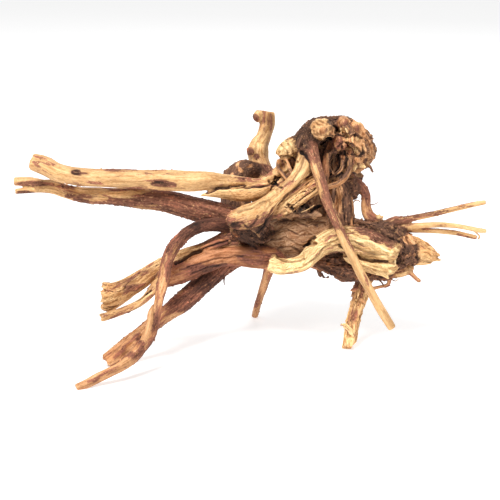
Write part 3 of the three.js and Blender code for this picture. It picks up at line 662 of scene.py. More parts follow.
# Thin strands that lie on the wood, only in the skin
VEINS = {
    "arch_vein": [[52, 96, -40, 2], [57, 104, -45, 2.6], [62, 98, -47, 2.6], [66, 88, -52, 2.2]],
    "arch_rim": [[56, 118, -40, 2], [50, 110, -43, 2.6], [48, 101, -40, 2.6], [50, 91, -33, 2.4]],
    "arch_fold": [[60, 122, -38, 2], [55, 113, -42, 2.6], [56, 104, -44, 2.4]],
    "eye_rim": [
        [78, 97, -40, 1.6], [80, 84, -42, 2], [84, 77, -43, 2.2], [90, 79, -42, 2.2], [93, 90, -39, 2],
    ],
    "eye_core": [[83, 94, -33, 1.4], [82, 86, -35, 1.8], [85, 81, -35, 1.6], [88, 86, -34, 1.6]],
    "crown_fold": [[96, 126, -32, 2.4], [102, 118, -37, 3], [101, 109, -38, 2.6], [106, 103, -36, 2.4]],
    "crown_curl": [
        [112, 110, -32, 2.4], [118, 103, -28, 2.6], [113, 96, -31, 2.6], [106, 95, -31, 2.2],
    ],
    "crown_edge": [[104, 108, -36, 2], [110, 100, -34, 2.4], [107, 91, -32, 2.6], [111, 86, -26, 2]],
    "crown_twig": [
        [108, 93, -22, 2.2], [114, 88, -23, 2], [119, 84, -24, 1.6], [123.5, 77.5, -24, 1.2],
    ],
    "fringe_chip": [[104, 89, -26, 2], [110, 84.5, -27, 2.2], [116, 83, -27, 1.3]],
    "seam_trunk": [[-50, 1, -43, 2], [-41, 3.5, -44, 3.2], [-31, 7, -44, 3.6], [-20, 10, -42, 3]],
    "limb_edge": [[-12, 38, -63, 1.6], [2, 43, -64, 2.2], [14, 50, -62, 2.2], [26, 59, -59, 2]],
    "limb_hook": [[10, 47, -64, 1], [15, 50, -63.5, 1.6], [18, 46.5, -63, 1.6], [15, 41, -63, 1.2]],
    "slab_edge": [[84, 64, -31, 1.6], [82, 50, -34, 2], [79, 36, -37, 2.2], [78, 24, -38, 2]],
    "slab_tooth": [[94, 58, -26, 3], [97, 50, -27, 2.6], [101.5, 44, -27, 1.2]],
    "slab_point": [[96, 44, -26, 3.4], [100, 37, -27, 3], [105, 34, -27, 1.2]],
    "base_rib": [[-12, 22, -50, 2], [-3, 15, -49, 2.6], [6, 10, -43, 2.6], [14, 8, -37, 2]],
    "base_rib_two": [[-14, 18, -46, 1.6], [-8, 12, -45, 2.2], [0, 7, -40, 2.2], [8, 5, -34, 1.8]],
    "heart_tooth_one": [[26, 33, -37, 4.4], [31, 40, -40, 2.8], [34, 44, -41, 1.2]],
    "heart_tooth_two": [[38, 33, -39, 4.4], [43, 38, -41, 2.8], [48, 42.5, -42, 1.2]],
    "heart_tooth_three": [[50, 34, -39, 4.4], [56, 38.5, -41, 2.8], [60, 41.5, -42, 1.2]],
    "heart_tooth_four": [[62, 33, -38, 4.4], [66, 38, -40, 2.8], [71, 40.5, -41, 1.2]],
    "heart_lip": [
        [22, 36, -36, 2], [34, 34, -40, 2.4], [46, 35, -41, 2.4], [58, 34.5, -41, 2.4],
        [72, 35, -39, 2],
    ],
    "peel_strip": [
        [105, -86, -27, 1.8], [101, -81.5, -29, 3.4], [97, -77.5, -31, 3.4], [93.5, -75, -32.5, 2.4],
        [91, -75, -33, 1],
    ],
    "peel_flap": [
        [96, -88, -28, 1.6], [93, -84, -31, 2.6], [90.5, -80.5, -33, 2.2], [88.5, -78, -34, 1],
    ],
    "leg_curl": [[116, -53, -15, 1.2], [113, -51.5, -16.5, 1.5], [110.5, -49.5, -16.5, 1.1]],
    "wave_crest": [
        [54, -4, -45, 1.8], [61, 3, -48, 2.2], [70, 12, -48, 2.2], [80, 18, -46, 2],
        [94, 22, -43, 1.8],
    ],
    "wave_fold": [
        [98, 14, -46, 1.6], [108, 9, -47, 2], [120, 6, -46, 2.2], [134, 3, -43, 2], [141, 1, -40, 1.6],
    ],
    "wave_fold_two": [[104, 1, -45, 1.6], [116, -3, -46, 2], [128, -5, -44, 2.1], [140, -7, -40, 1.6]],
    "wave_tooth": [[126, -22, -36, 3], [134, -24.5, -36, 2.6], [139, -29, -35, 1.2]],
    "bark_rib": [
        [104, 30, -26, 2], [118, 26, -30, 2.6], [132, 20, -33, 2.8], [146, 12, -32, 2.6],
        [158, 2, -28, 2],
    ],
    "bark_rib_two": [[112, 20, -32, 2], [124, 14, -35, 2.4], [138, 8, -34, 2.4], [150, 0, -33, 2]],
    "bark_rib_three": [[150, 12, -33, 2.4], [156, 4, -34, 3], [158, -5, -32, 3], [155, -13, -29, 2]],
    "under_rib": [[64, -14, -25, 1.6], [80, -22, -24, 2.4], [98, -28, -20, 2.6], [116, -31, -18, 2.2]],
    "back_rib": [
        [0, 20, 22, 2], [20, 30, 34, 3], [44, 40, 38, 3.2], [66, 56, 33, 3], [84, 76, 22, 2.4],
    ],
    "back_rib_two": [
        [10, 8, 20, 2], [32, 14, 34, 3], [56, 22, 36, 3.2], [78, 36, 31, 3], [94, 52, 22, 2.4],
    ],
}
VEIN_FLUTE = 0.05
VEIN_KNOBS = 0.12
FLAT_VEINS = {"peel_strip": 0.45, "peel_flap": 0.45}

# Each run's bare wood, its bark, how much of it the bark covers from its start to its end, and
# how rough its relief is.
LOOKS = {
    "upper_arm": ("cream", "rust", [-0.05, 0.1, 0.1, 0.25, 0.14, 0.1, 0.15, 0.2], 0.6),
    "split_strip": ("cream", "rust", [0.05, 0.1, 0.15, 0.3], 0.9),
    "second_arm": ("cream", "rust", [0.3, 0.25, 0.3, 0.6, 1.1, 1.2, 1.2], 0.7),
    "fork_upper": ("cream", "rust", [0.2, 0.35], 0.5),
    "fork_lower": ("cream", "rust", [0.3, 0.4], 0.5),
    "crossing_root": ("tan", "rust", [1.3, 1.4, 1.4, 1.25, 1, 0.75, 0.75, 0.6, 0.35, 0.15, 0.1], 0.7),
    "twist_strand": ("tan", "rust", [0.4, 0.4], 0.5),
    "lower_trunk": ("amber", "rust", [0.75, 0.6, 0.28, 0.28, 0.4, 0.65], 0.75),
    "torn_arm": ("cream", "rust", [0.85, 0.7, 0.5, 0.4, 0.3, 0.05], 1.0),
    "under_root": ("cream", "rust", [0.8, 0.35, 0.2], 0.6),
    "rear_leg": ("tan", "rust", [1.4, 1.4, 1.2, 0.95, 0.6, 0.4], 0.8),
    "front_limb": ("cream", "rust", [0.5, 0.15, 0.14, 0.1, 0.1, 0.1, 0.15, 0.4], 0.65),
    "torn_plank": ("cream", "rust", [0.2, 0.12, 0.14, 0.25], 1.3),
    "limb_valley": ("amber", "umber", [0.9, 0.7, 0.5], 1.1),
    "limb_base": ("amber", "umber", [0.9, 1.0, 0.9, 0.7], 1.6),
    "heart": ("ash", "umber", [0.6, 0.1, 0.05, 0.05, 0.15, 0.5, 0.8], 1.0),
    "back": ("ash", "umber", [0.8, 0.7, 0.6, 0.7, 0.8], 1.4),
    "neck": ("ash", "umber", [0.4, 0.5, 0.8, 0.9], 1.4),
    "slab": ("tan", "umber", [0.6, 0.5, 0.5, 0.6], 1.2),
    "rear_stub": ("tan", "umber", [0.8, 0.7, 0.5], 1.0),
    "pale_wave": ("pale", "rust", [0.15, 0.05, 0.05, 0.05, 0.12, 0.15], 0.75),
    "lower_lip": ("pale", "rust", [0.2, 0.1, 0.15], 0.8),
    "bark_ridge": ("tan", "umber", [1.2, 1.3, 1.25, 1.2], 2.3),
    "pale_tail": ("cream", "rust", [0.5, 0.1, 0.05, 0.05], 1.2),
    "tail_prong": ("cream", "rust", [0.4, 0.1], 1.0),
    "under_wood": ("amber", "umber", [0.8, 0.95, 0.95, 0.8], 1.7),
    "right_leg": ("cream", "rust", [0.7, 0.35, 0.3, 0.3, 0.35, 0.0], 1.5),
    "leg_spur": ("tan", "rust", [0.4, 0.4], 0.6),
    "back_leg": ("tan", "rust", [0.8, 0.6, 0.45, 0.35], 0.7),
    "long_stick": ("cream", "rust", [1.5, 1.3, 0.8, 0.85, 0.75, 0.6, 0.3, 0.05, 0, 0, 0], 0.5),
    "crown_arch": ("tan", "umber", [1.4, 1.5, 1.5, 1.4, 0.9, 0.6], 1.4),
    "left_lobe": ("cream", "umber", [0.1, 0.1, 0.3, 0.9], 1.35),
    "cut_knob": ("cream", "umber", [1, 0.8, 0.3, 0.0], 1.2),
    "crown_right": ("tan", "umber", [0.4, 0.35, 0.4, 0.45, 0.5], 2.0),
    "inner_strand": ("amber", "umber", [0.7, 0.7, 0.6], 1.0),
    "hook_strand": ("tan", "umber", [0.6, 0.5, 0.3], 0.7),
    "lobe_strand_left": ("tan", "umber", [0.5, 0.3], 0.6),
    "lobe_strand_right": ("tan", "umber", [0.5, 0.3], 0.6),
    "loop_root": ("tan", "rust", [1.1, 1, 0.75, 0.75], 0.8),
    "loop_stub": ("pale", "rust", [0.1, 0.0], 0.5),
    "twig_high": ("cream", "rust", [0.4, 0.3, 0.5, 0.4, 0.2], 0.4),
    "twig_middle": ("cream", "rust", [0.4, 0.15, 0.1, 0.15], 0.4),
    "twig_low": ("cream", "rust", [0.5, 0.3, 0.25, 0.2], 0.4),
    "broken_bit": ("cream", "rust", [0.3, 0.3], 0.9),
    "broken_twig": ("tan", "rust", [0.5, 0.5], 0.5),
    "ring_twig": ("tan", "rust", [0.6, 0.6], 0.4),
    "back_stub": ("cream", "rust", [0.3, 0.12, 0, 0, 0.1, 0.05, 0.2, 0.7], 0.7),
    "dark_root": ("tan", "umber", [1.1, 1.1, 1.0, 0.8], 0.75),
}
LUMP_LOOKS = {
    "inner_knob": ("tan", "rust", 0.75, 1.2),
    "inner_mass": ("amber", "umber", 0.6, 1.8),
    "crown_top": ("amber", "rust", 0.55, 1.4),
    "crown_side": ("tan", "umber", 0.35, 2.1),
    "crown_back": ("ash", "umber", 0.85, 1.8),
    "crown_left": ("amber", "umber", 0.85, 1.4),
    "crown_under": ("amber", "umber", 0.85, 1.4),
    "crown_fringe": ("cream", "rust", 0.2, 1.9),
    "crown_bun": ("tan", "rust", 0.5, 0.8),
    "crown_bun_two": ("tan", "rust", 0.35, 1.1),
    "stub_knob": ("cream", "rust", 0.2, 0.6),
    "stub_top": ("cream", "rust", 0.3, 0.6),
    "root_ear": ("tan", "umber", 1.0, 0.7),
    "crown_core": ("amber", "umber", 1.1, 1.4),
    "knob_side": ("tan", "umber", 0.35, 1.4),
    "cross_back": ("amber", "umber", 1.1, 1.3),
    "limb_back": ("amber", "umber", 1.1, 1.3),
    "bark_low": ("amber", "umber", 1.2, 2),
}
# Veins take theirs by the first word of their names
VEIN_LOOKS = {
    "seam": ("amber", "rust", [0.4, 0.6], 0.8),
    "arch": ("tan", "umber", [1.4, 1.5], 1.2),
    "eye": ("tan", "umber", [0.6, 0.6], 0.7),
    "crown": ("tan", "umber", [0.7, 0.6], 1.6),
    "fringe": ("pale", "rust", [0.3, 0.1], 0.8),
    "limb": ("cream", "umber", [0.2, 0.15], 0.7),
    "slab": ("ash", "umber", [0.5, 0.5], 1.2),
    "base": ("amber", "umber", [0.9, 0.9], 1.0),
    "heart": ("ash", "umber", [0.3, 0.1], 1.2),
    "peel": ("pale", "rust", [0.1, 0.1], 0.6),
    "leg": ("tan", "rust", [0.4, 0.2], 0.8),
    "wave": ("pale", "rust", [0.1, 0.1], 0.75),
    "bark": ("tan", "umber", [1.3, 1.3], 2.0),
    "under": ("amber", "umber", [1.2, 1.2], 1.6),
    "back": ("ash", "umber", [0.8, 0.8], 1.2),
}

# How deep the torn ends are splintered
TORN_ENDS = {
    "torn_arm": 6, "under_root": 3, "pale_tail": 5, "tail_prong": 6, "fork_lower": 2, "loop_stub": 2,
    "broken_bit": 2, "left_lobe": 3, "rear_stub": 5, "lower_lip": 4, "pale_wave": 3, "broken_twig": 2,
    "leg_spur": 2, "upper_arm": 1.5, "rear_leg": 2, "cut_knob": 2.5, "back_stub": 1.5,
}

# Burrs: short curled strands that grow out of the wood within a ball,
# [across, up, away, half width, half height, half depth, how many, length, radius, look]
BURRS = [
    [115, 99, -17, 10, 10, 12, 66, 5, 1.3, "burr"],
    [105, 109, -27, 10, 6, 8, 34, 5, 1.3, "burr"],
    [94, 119, -33, 3, 5, 4, 10, 5, 1.1, "pale_burr"],
    [99, 111, -34, 3.5, 3.5, 4, 9, 5, 1.1, "pale_burr"],
    [108, 102, -31, 4, 5, 4, 12, 5, 1.1, "pale_burr"],
    [109, 85, -22, 9, 5, 6, 14, 7, 1.1, "pale_burr"],
    [105, 92, -22, 10, 9, 9, 30, 7, 1.3, "burr"],
    [38, 101, -34, 9, 8, 8, 34, 8, 1.3, "pale_burr"],
    [88, 108, -2, 21, 18, 15, 40, 12, 1.8, "dark_burr"],
    [99, 61, -14, 10, 11, 11, 26, 8, 1.4, "dark_burr"],
    [128, 18, -25, 26, 9, 9, 80, 7, 1.3, "dark_burr"],
    [156, -2, -26, 9, 12, 8, 44, 7, 1.2, "dark_burr"],
    [104, -22, -15, 36, 9, 10, 60, 7, 1.3, "dark_burr"],
    [8, 18, -40, 16, 9, 12, 22, 10, 1.4, "dark_burr"],
    [70, 30, 16, 26, 20, 17, 30, 13, 1.8, "dark_burr"],
    [152, -20, -19, 12, 4, 4, 14, 6, 1.1, "burr"],
    [134, 26, -21, 9, 5, 6, 12, 7, 1.1, "burr"],
]
BURR_LOOKS = {
    "burr": ("tan", "umber", [0.6, 0.4], 0.8),
    "pale_burr": ("pale", "rust", [0.5, 0.1], 0.6),
    "dark_burr": ("amber", "umber", [0.9, 0.8], 0.6),
}

# Hair roots: routes like the runs', too fine for the skin
HAIRS = [
    [
        [33, 44, -50, 0.7], [39, 40.5, -52, 0.6], [47, 38.5, -52, 0.5], [56, 41, -51, 0.5],
        [64, 46, -49, 0.6],
    ],
    [[225, 20, -25, 0.9], [228, 17.5, -22, 0.8], [230, 15, -19, 0.8], [229, 12.5, -16, 0.9]],
    [[231, 19.5, -26, 0.7], [233, 17, -25, 0.5], [234.5, 15.5, -24, 0.4]],
    [[99, 45, -26, 0.8], [101, 48, -28, 0.6], [104, 49, -29, 0.5], [107, 47, -29, 0.4]],
    [[96, 52, -26, 0.7], [99, 55, -28, 0.5], [102, 57, -29, 0.4]],
    [[98, 54, -26, 0.8], [103, 58, -27, 0.6], [107, 56, -27, 0.4]],
    [[-28, -25, -18, 0.8], [-28.5, -29, -19, 0.6], [-28, -33, -20, 0.4]],
    [[122, 45, -16, 0.6], [127, 46, -17, 0.4], [130, 48, -17, 0.3]],
    [[128, -26, -20, 0.9], [133, -31, -22, 0.7], [135, -35, -23, 0.5], [141, -33, -23, 0.4]],
    [[140, -26, -20, 0.7], [146, -29, -21, 0.5], [149, -27, -22, 0.4]],
    [[40, 40, 38, 1], [46, 46, 48, 0.8], [44, 54, 56, 0.6], [38, 58, 60, 0.4]],
    [[70, 50, 34, 1], [80, 48, 44, 0.8], [88, 40, 48, 0.5]],
    [[20, 26, 32, 1], [12, 20, 42, 0.8], [10, 12, 50, 0.5]],
    [[84, 84, 18, 1], [92, 88, 28, 0.8], [94, 96, 34, 0.5]],
    [[58, 14, 30, 0.9], [64, 4, 40, 0.7], [74, 0, 44, 0.5]],
    [[-12, 60, 26, 0.9], [-20, 56, 36, 0.7], [-30, 58, 40, 0.4]],
]

# Marks on the front: [across, up, half width, half height, more bark, lighter]
MARKS = [
    # Upper arm. The marks at 63 and 62 up darken its lower edge: a little bark, with painted shade.
    [-174, 77.8, 4.5, 2.4, 1.4, -0.55], [-167, 76, 6, 1.8, 0.9, -0.15], [-90, 67, 9, 3.4, 1.1, -0.2],
    [-81, 65.5, 8, 2.6, 1, -0.1], [-91, 68, 5, 1.2, 0.6, -0.5], [-130, 80, 16, 1.8, 1, 0],
    [-197, 86, 10, 2, 0.35, 0], [-120, 63, 18, 2, 0.2, -0.1], [-40, 62, 20, 2.5, 0.15, -0.1],
    [-190, 76, 8, 5, -0.4, 0.1], [-150, 73, 14, 4, -0.4, 0.1], [-60, 72, 24, 4, -0.4, 0.1],
    [-112, 72, 14, 4, -0.4, 0.08],
    # Second arm
    [-218, 66.5, 16, 2.6, 0.7, -0.05], [-204, 65, 9, 2.2, 0.5, 0], [-226, 57.5, 9, 2, 0.9, -0.25],
    [-195, 60, 9, 3, -0.2, 0.05], [-179, 54, 6, 2, 1.1, -0.2], [-172, 51, 5, 2, 1, -0.2],
    [-118, 51, 24, 5, 0.9, -0.05], [-138, 47.5, 14, 3, 0.9, -0.1], [-165, 61, 12, 3, -0.4, 0.1],
    [-150, 50, 10, 3, -0.35, 0.08], [-166, 48, 6, 2.6, 1.1, -0.2], [-160, 62, 9, 2.4, 0.35, -0.1],
    [-122, 55, 18, 3, -0.8, 0.05], [-178, 64, 14, 3, 0.8, -0.05], [-96, 50, 26, 8, 0.4, 0],
    [-60, 45, 20, 9, 0.3, 0],
    # Crossing root. The first two, at 20 and 25 up, darken its top under the second arm: bark, with
    # painted shade.
    [-62, 20, 16, 8, 0.4, -0.42], [-36, 25, 22, 8, 0.4, -0.42], [-76, 4, 8, 9, 0.3, -0.2],
    [-77, 0, 3, 10, -0.3, 0], [-88, -30, 3.5, 12, -0.4, 0.08], [-96, -72, 4, 9, 0.35, -0.1],
    [-101, -92, 6, 5, 0.2, 0], [-110, -96, 4, 9, 0.35, 0], [-121, -104, 6, 3, 0.3, -0.2],
    [-150, -127, 20, 5, -0.4, 0.1], [-104, -84, 5, 8, -0.3, 0.05],
    # Torn arm, trunk and rear leg. Marks near 0 up make the trunk lighter along its top, and those at
    # -18, -36 and -54 up darken its lower edge and the rear leg under it: paler wood and bark, with
    # painted highlight and painted shade.
    [-140, -46, 14, 12, -0.5, 0.1], [-118, -34, 16, 5, 0.15, 0.05], [-112, -38, 14, 4, 0.3, -0.1],
    [-100, -24, 14, 4, 0.3, 0], [-60, -3, 12, 4, -0.6, 0.1], [-44, -7, 24, 5, -0.6, 0.15],
    [-26, 0, 16, 4, -0.6, 0.2], [-68, -17, 12, 6, 0.2, 0], [-40, -18, 24, 4, 0.4, -0.25],
    [-20, -4, 7, 8, -0.5, 0.2], [-36, 0, 14, 3, -0.5, 0.15], [-28, 3, 14, 5, 0.3, -0.2],
    [2, -8, 12, 9, 0.3, -0.05], [22, 5, 8, 8, -0.4, 0.2], [-120, -93, 8, 6, -0.45, 0.1],
    [-136, -98, 8, 6, -0.2, 0], [-142, -110, 5, 5, -0.6, 0.15], [-105, -84, 6, 4, -0.3, 0],
    [-70, -66, 8, 4, -0.4, 0], [-36, -36, 24, 14, 0.4, -0.45], [-62, -54, 16, 8, 0.2, -0.15],
    # Limb, plank and base
    [-4, 27, 12, 6, 0.25, -0.1], [-14, 24, 5, 3, 0.8, -0.25], [6, 12, 17, 13, 0.4, -0.3],
    [24, 8, 8, 12, 0.3, -0.3], [4, 40, 10, 4, -0.3, 0.08], [24, 56, 8, 5, -0.3, 0.05],
    [50, 78, 6, 8, -0.2, 0.05], [33, 48, 12, 6, -0.3, 0.12], [16, 30, 6, 9, 0.5, -0.1],
    [60, 68, 8, 6, -0.3, 0.1],
    # Heart and slab
    [30, 30, 10, 6, 0.3, -0.1], [55, 34, 8, 5, 0.4, -0.15], [38, 12, 16, 8, -0.2, 0.1],
    [50, -6, 12, 5, -0.2, 0.05],
    # Waved wood
    [24, -16, 8, 8, -0.4, 0.2], [45, -14, 14, 6, -0.4, 0.15], [70, 2, 8, 8, -0.4, 0.12],
    [92, 14, 6, 5, 0.1, -0.25], [108, 16, 10, 4, 0, 0.15], [118, 6, 14, 5, 0, 0.15],
    [134, -2, 8, 8, 0, 0.2], [100, 2, 10, 4, 0.05, -0.2], [122, -4, 12, 3, 0.1, -0.3],
    [93, 20, 4, 4, 0.35, -0.3], [101, 25, 6, 3, 0, 0.1], [88, -4, 12, 3, 0.8, -0.3],
    [161, 11, 8, 5, -1.1, 0.15], [118, 20, 12, 5.5, 1.5, -0.15], [131, 12.5, 10, 5.5, 1.5, -0.15],
    [141, 6, 6, 4, 0.9, -0.1], [176, -4, 10, 5, -0.6, 0.15], [150, -3, 5, 4, 0.4, -0.2],
    # Crown. The mark at 127.5 up lightens the top rim of the second bun: paler wood, with a painted
    # highlight.
    [56, 108, 13, 16, 0.5, -0.25], [60, 98, 8, 8, 0.5, -0.1], [73, 125, 8, 5, -0.5, 0.15],
    [74, 113, 10, 4, 0.2, -0.2], [80, 127, 5, 2, 0.3, -0.2], [100, 122, 9, 6, 0.5, 0],
    [108, 127.5, 8, 2.6, -0.9, 0.35], [93, 119, 5, 4, -0.9, 0.35], [99, 111, 5, 4, -0.9, 0.35],
    [109, 103, 5, 4, -0.8, 0.25], [113, 120, 3, 8, -0.8, 0.2], [36, 101, 10, 9, -0.6, 0.15],
    [62, 100, 5, 5, 0.4, -0.2], [108, 90, 6, 3, -0.6, 0.2], [97, 84, 4, 9, 0.2, 0],
    [45, 88, 8, 8, -0.5, -0.1], [105, 111, 8, 6, -0.2, 0.05], [118, 100, 7, 10, -0.2, 0],
    # Back stub and dark root
    [5, 132, 4, 4, 0.9, -0.15], [20, 128, 3, 10, 0.5, -0.1], [14, 118, 4, 5, 0.4, -0.05],
    [0.5, 98.5, 3.6, 4, 1, -0.15], [6.5, 93.5, 3.2, 3.2, 0.9, -0.15], [7, 106, 6, 6, -0.4, 0.1],
    [13, 80, 10, 6, 0.9, -0.25], [12, 105, 4, 6, -0.5, 0.2], [-10, 80, 3, 3, -0.9, 0.15],
    [-17, 75, 3, 3, -0.9, 0.15], [-12, 84, 2, 5, -0.8, 0.2], [-4, 86, 9, 4, 0, 0.12],
    [2, 82, 3, 5, -0.5, 0.1],
    # Twigs and stick
    [150, 29, 18, 4, 0.5, -0.05], [180, 34, 22, 3, 0.25, 0], [150, 19, 10, 3, 0.5, -0.1],
    [170, 18.5, 12, 2, 0.3, 0], [84, 30, 3, 14, -0.1, 0.1], [70, 66, 4, 14, -0.15, 0.05],
    # Right leg
    [98, -92, 8, 10, -0.6, 0.3], [114, -36, 6, 8, 0.3, -0.15],
]

# Creases and ribs drawn on the front: half width, depth (less than 0 stands proud), more bark,
# lighter, and the places it passes, across and up. A crease with lighter below 0 is darkened:
# painted shade in it, with bark.
LINES = [
    (1.35, 1.8, 0.4, -0.49, [[-44, 57], [-34, 61], [-18, 63.5], [0, 63], [12, 63.5], [22, 67], [28, 72]]),
    (1.2, 1.6, 0.4, -0.4, [[19, 69], [24.5, 66.5], [31, 63]]),
    (1.2, 1.6, 0.4, -0.4, [[26, 73], [24, 66], [21, 60]]),
    # The crack between the torn arm and the trunk, darkened: painted shade in it
    (1.8, 3.2, 0.6, -0.55, [[-74, -13], [-68, -9.5], [-60, -5], [-50, 0], [-34, 6], [-22, 9]]),
    (1.4, 1.6, 0.5, -0.5, [[-120, -52], [-108, -47], [-99, -41]]),
    (1.1, 0.72, 0.3, -0.28, [[-70, -20], [-50, -13], [-30, -8], [-8, -6]]),
    (1.1, 0.6, 0.2, -0.28, [[-60, -24], [-44, -18], [-24, -14]]),
    (1.1, 0.6, 0.2, -0.28, [[-32, 12], [-20, 11], [-8, 8], [6, 2]]),
    (1.3, 1.5, 0.5, -0.3, [[12, 20], [17, 30], [23, 42], [36, 53], [50, 66], [61, 76]]),
    (1.1, 0.72, 0.3, -0.35, [[-18, 27], [-8, 27], [-2, 22], [4, 26], [8, 34]]),
    (1, 0.54, 0.1, -0.28, [[-12, 38], [0, 41], [9, 47], [17, 49]]),
    (1, 0.48, 0.1, -0.24, [[30, 36], [40, 44], [52, 52], [66, 62]]),
    (1, 0.48, 0.1, -0.24, [[28, 42], [38, 51], [50, 60], [62, 69]]),
    (1, 0.48, 0.1, -0.24, [[36, 34], [48, 43], [60, 50], [70, 60]]),
    (1.1, 0.6, 0.1, -0.28, [[42, 68], [50, 80], [54, 92]]),
    (1.5, 1.8, 0.5, -0.4, [[54, 3], [59, 8], [65, 13]]),
    (1.3, 1.08, 0.2, -0.42, [[26, -6], [34, -10], [42, -12], [54, -9]]),
    (1.4, 1.44, 0.4, -0.56, [[90, 4], [103, -3], [112, -9], [124, -11], [137, -12]]),
    (1.05, 0.54, 0, -0.24, [[22, -18], [36, -20], [52, -17], [64, -10], [74, 2], [84, 10], [98, 14]]),
    (1.05, 0.54, 0, -0.21, [[70, -1], [80, 4], [94, 6], [110, 1], [124, -4], [138, -5]]),
    (1.1, 0.6, 0, -0.21, [[96, 22], [106, 14], [118, 11], [130, 6], [140, 4]]),
    (1.1, 0.6, 0, -0.24, [[86, 18], [98, 10], [112, 6]]),
    (1.05, -0.9, -0.2, 0.1, [[76, 8], [88, 12], [102, 10], [118, 9], [132, 2], [142, -2]]),
    (1.05, -0.8, -0.2, 0.1, [[100, -8], [112, -14], [126, -19], [140, -21]]),
    (1.4, 2.4, 0.6, -0.45, [[51, 98], [56, 95], [60.5, 87], [61.5, 77]]),
    (1.7, 3, 0.6, -0.5, [[68, 98], [71, 106], [77, 111], [84, 113.5]]),
    (1.4, 1.8, 0.4, -0.4, [[81, 76], [80, 86], [83, 95], [88, 95], [90, 85], [86, 76]]),
    (1.3, 1.2, 0.5, -0.49, [[86, 72], [95, 80], [97, 92], [92, 103]]),
    (1.25, 1.2, 0.4, -0.49, [[88, 104], [95, 108], [103, 105], [110, 98]]),
    (1.25, 1.2, 0.4, -0.49, [[102, 96], [108, 93], [113, 97], [112, 104]]),
    (1.4, 1.44, 0.6, -0.49, [[84, 124], [88, 116], [96, 113], [106, 115], [112, 112]]),
    (1, 0.6, 0.2, -0.35, [[66, 129], [74, 127], [80, 129]]),
    (1.1, 0.9, 0.4, -0.42, [[28, 92], [34, 94], [42, 92], [48, 88]]),
    (1, 0.6, 0.1, -0.35, [[30, 106], [36, 101], [38, 94]]),
    (1, 0.6, 0.1, -0.35, [[36, 109], [42, 102], [44, 95]]),
    # A dark stroke along the gap over the heart's teeth: painted shade in the recess
    (1.9, 1.6, 0.5, -0.6, [[38, 45.5], [47, 38], [54, 45.5], [61, 39], [70, 44]]),
    (1, 0.54, 0.1, -0.28, [[22, 18], [36, 22], [50, 14], [62, 16]]),
    (1, 0.54, 0.1, -0.28, [[20, 10], [36, 13], [50, 5], [60, 6]]),
    (1, 0.54, 0.1, -0.28, [[28, 2], [40, 4], [50, -2]]),
    (1, 0.54, 0.1, -0.28, [[30, 28], [44, 30], [58, 24]]),
    (1.1, 0.72, 0.3, -0.35, [[86, 58], [88, 46], [86, 34], [88, 26]]),
    (1.1, 0.72, 0.3, -0.35, [[95, 56], [93, 44], [95, 32]]),
]

GOLDEN_ANGLE = math.pi * (3 - math.sqrt(5))
CURVE_STEPS = 24
GIRTH_TENSION = 0.3


def view_axes(points):
    """Across, up and away, in millimetres, of places in the frame, in metres."""
    from_middle = points / MM - MIDDLE
    away = from_middle @ AWAY
    enlarged = 1 + away / VIEW_DISTANCE
    return np.column_stack([from_middle @ RIGHT / enlarged, from_middle @ UP / enlarged, away])


def place(across, up, away):
    """Places in millimetres in the frame, from arrays of across, up and away."""
    enlarged = 1 + away / VIEW_DISTANCE
    return (
        MIDDLE
        + np.multiply.outer(across * enlarged, RIGHT)
        + np.multiply.outer(up * enlarged, UP)
        + np.multiply.outer(away, AWAY)
    )


def linear(colour):
    """A screen colour as the renderer counts it."""
    return [c / 12.92 if c <= 0.04045 else ((c + 0.055) / 1.055) ** 2.4 for c in colour]


def grooves(angle, along, phase):
    """Low waves over a section's girth and along a run, from -1 to 1."""
    broad = np.cos(3 * angle + phase + along / 45)
    narrow = np.cos(5 * angle - along / 30 + 2.1 * phase)
    return (broad + 0.6 * narrow) / 1.6


def swelling(along, phase):
    """Slow waves along a run, from -1 to 1."""
    return (np.sin(along / 11 + phase) + np.sin(along / 6.5 + 2.3 * phase)) / 2


def between(start, end, leave, arrive, share):
    """A cubic from start to end, with the given slopes there."""
    square, cube = share**2, share**3
    return (
        (2 * cube - 3 * square + 1) * start
        + (cube - 2 * square + share) * leave
        + (3 * square - 2 * cube) * end
        + (cube - square) * arrive
    )


def curve_through(points):
    """A smooth curve through the points, as closely spaced ones."""
    p = np.vstack([2 * points[0] - points[1], points, 2 * points[-1] - points[-2]])
    gaps = np.sqrt(np.linalg.norm(np.diff(p, axis=0), axis=1))
    share = np.linspace(0, 1, CURVE_STEPS, endpoint=False)[:, None]
    parts = []
    for i in range(1, len(p) - 2):
        before, here, after = gaps[i - 1 : i + 2]
        ahead = (p[i + 1] - p[i]) / here
        leave = (p[i] - p[i - 1]) / before - (p[i + 1] - p[i - 1]) / (before + here) + ahead
        arrive = ahead - (p[i + 2] - p[i]) / (here + after) + (p[i + 2] - p[i + 1]) / after
        parts.append(between(p[i], p[i + 1], leave * here, arrive * here, share))
    return np.vstack([*parts, points[-1:]])


def girth_through(radii, where):
    """Radii at places along the list of given ones, 0 for the first."""
    r = np.concatenate([[2 * radii[0] - radii[1]], radii, [2 * radii[-1] - radii[-2]]])
    i = np.clip(where.astype(int), 0, len(radii) - 2)
    leave = GIRTH_TENSION * (r[i + 2] - r[i])
    arrive = GIRTH_TENSION * (r[i + 3] - r[i + 1])
    return between(r[i + 1], r[i + 2], leave, arrive, where - i)


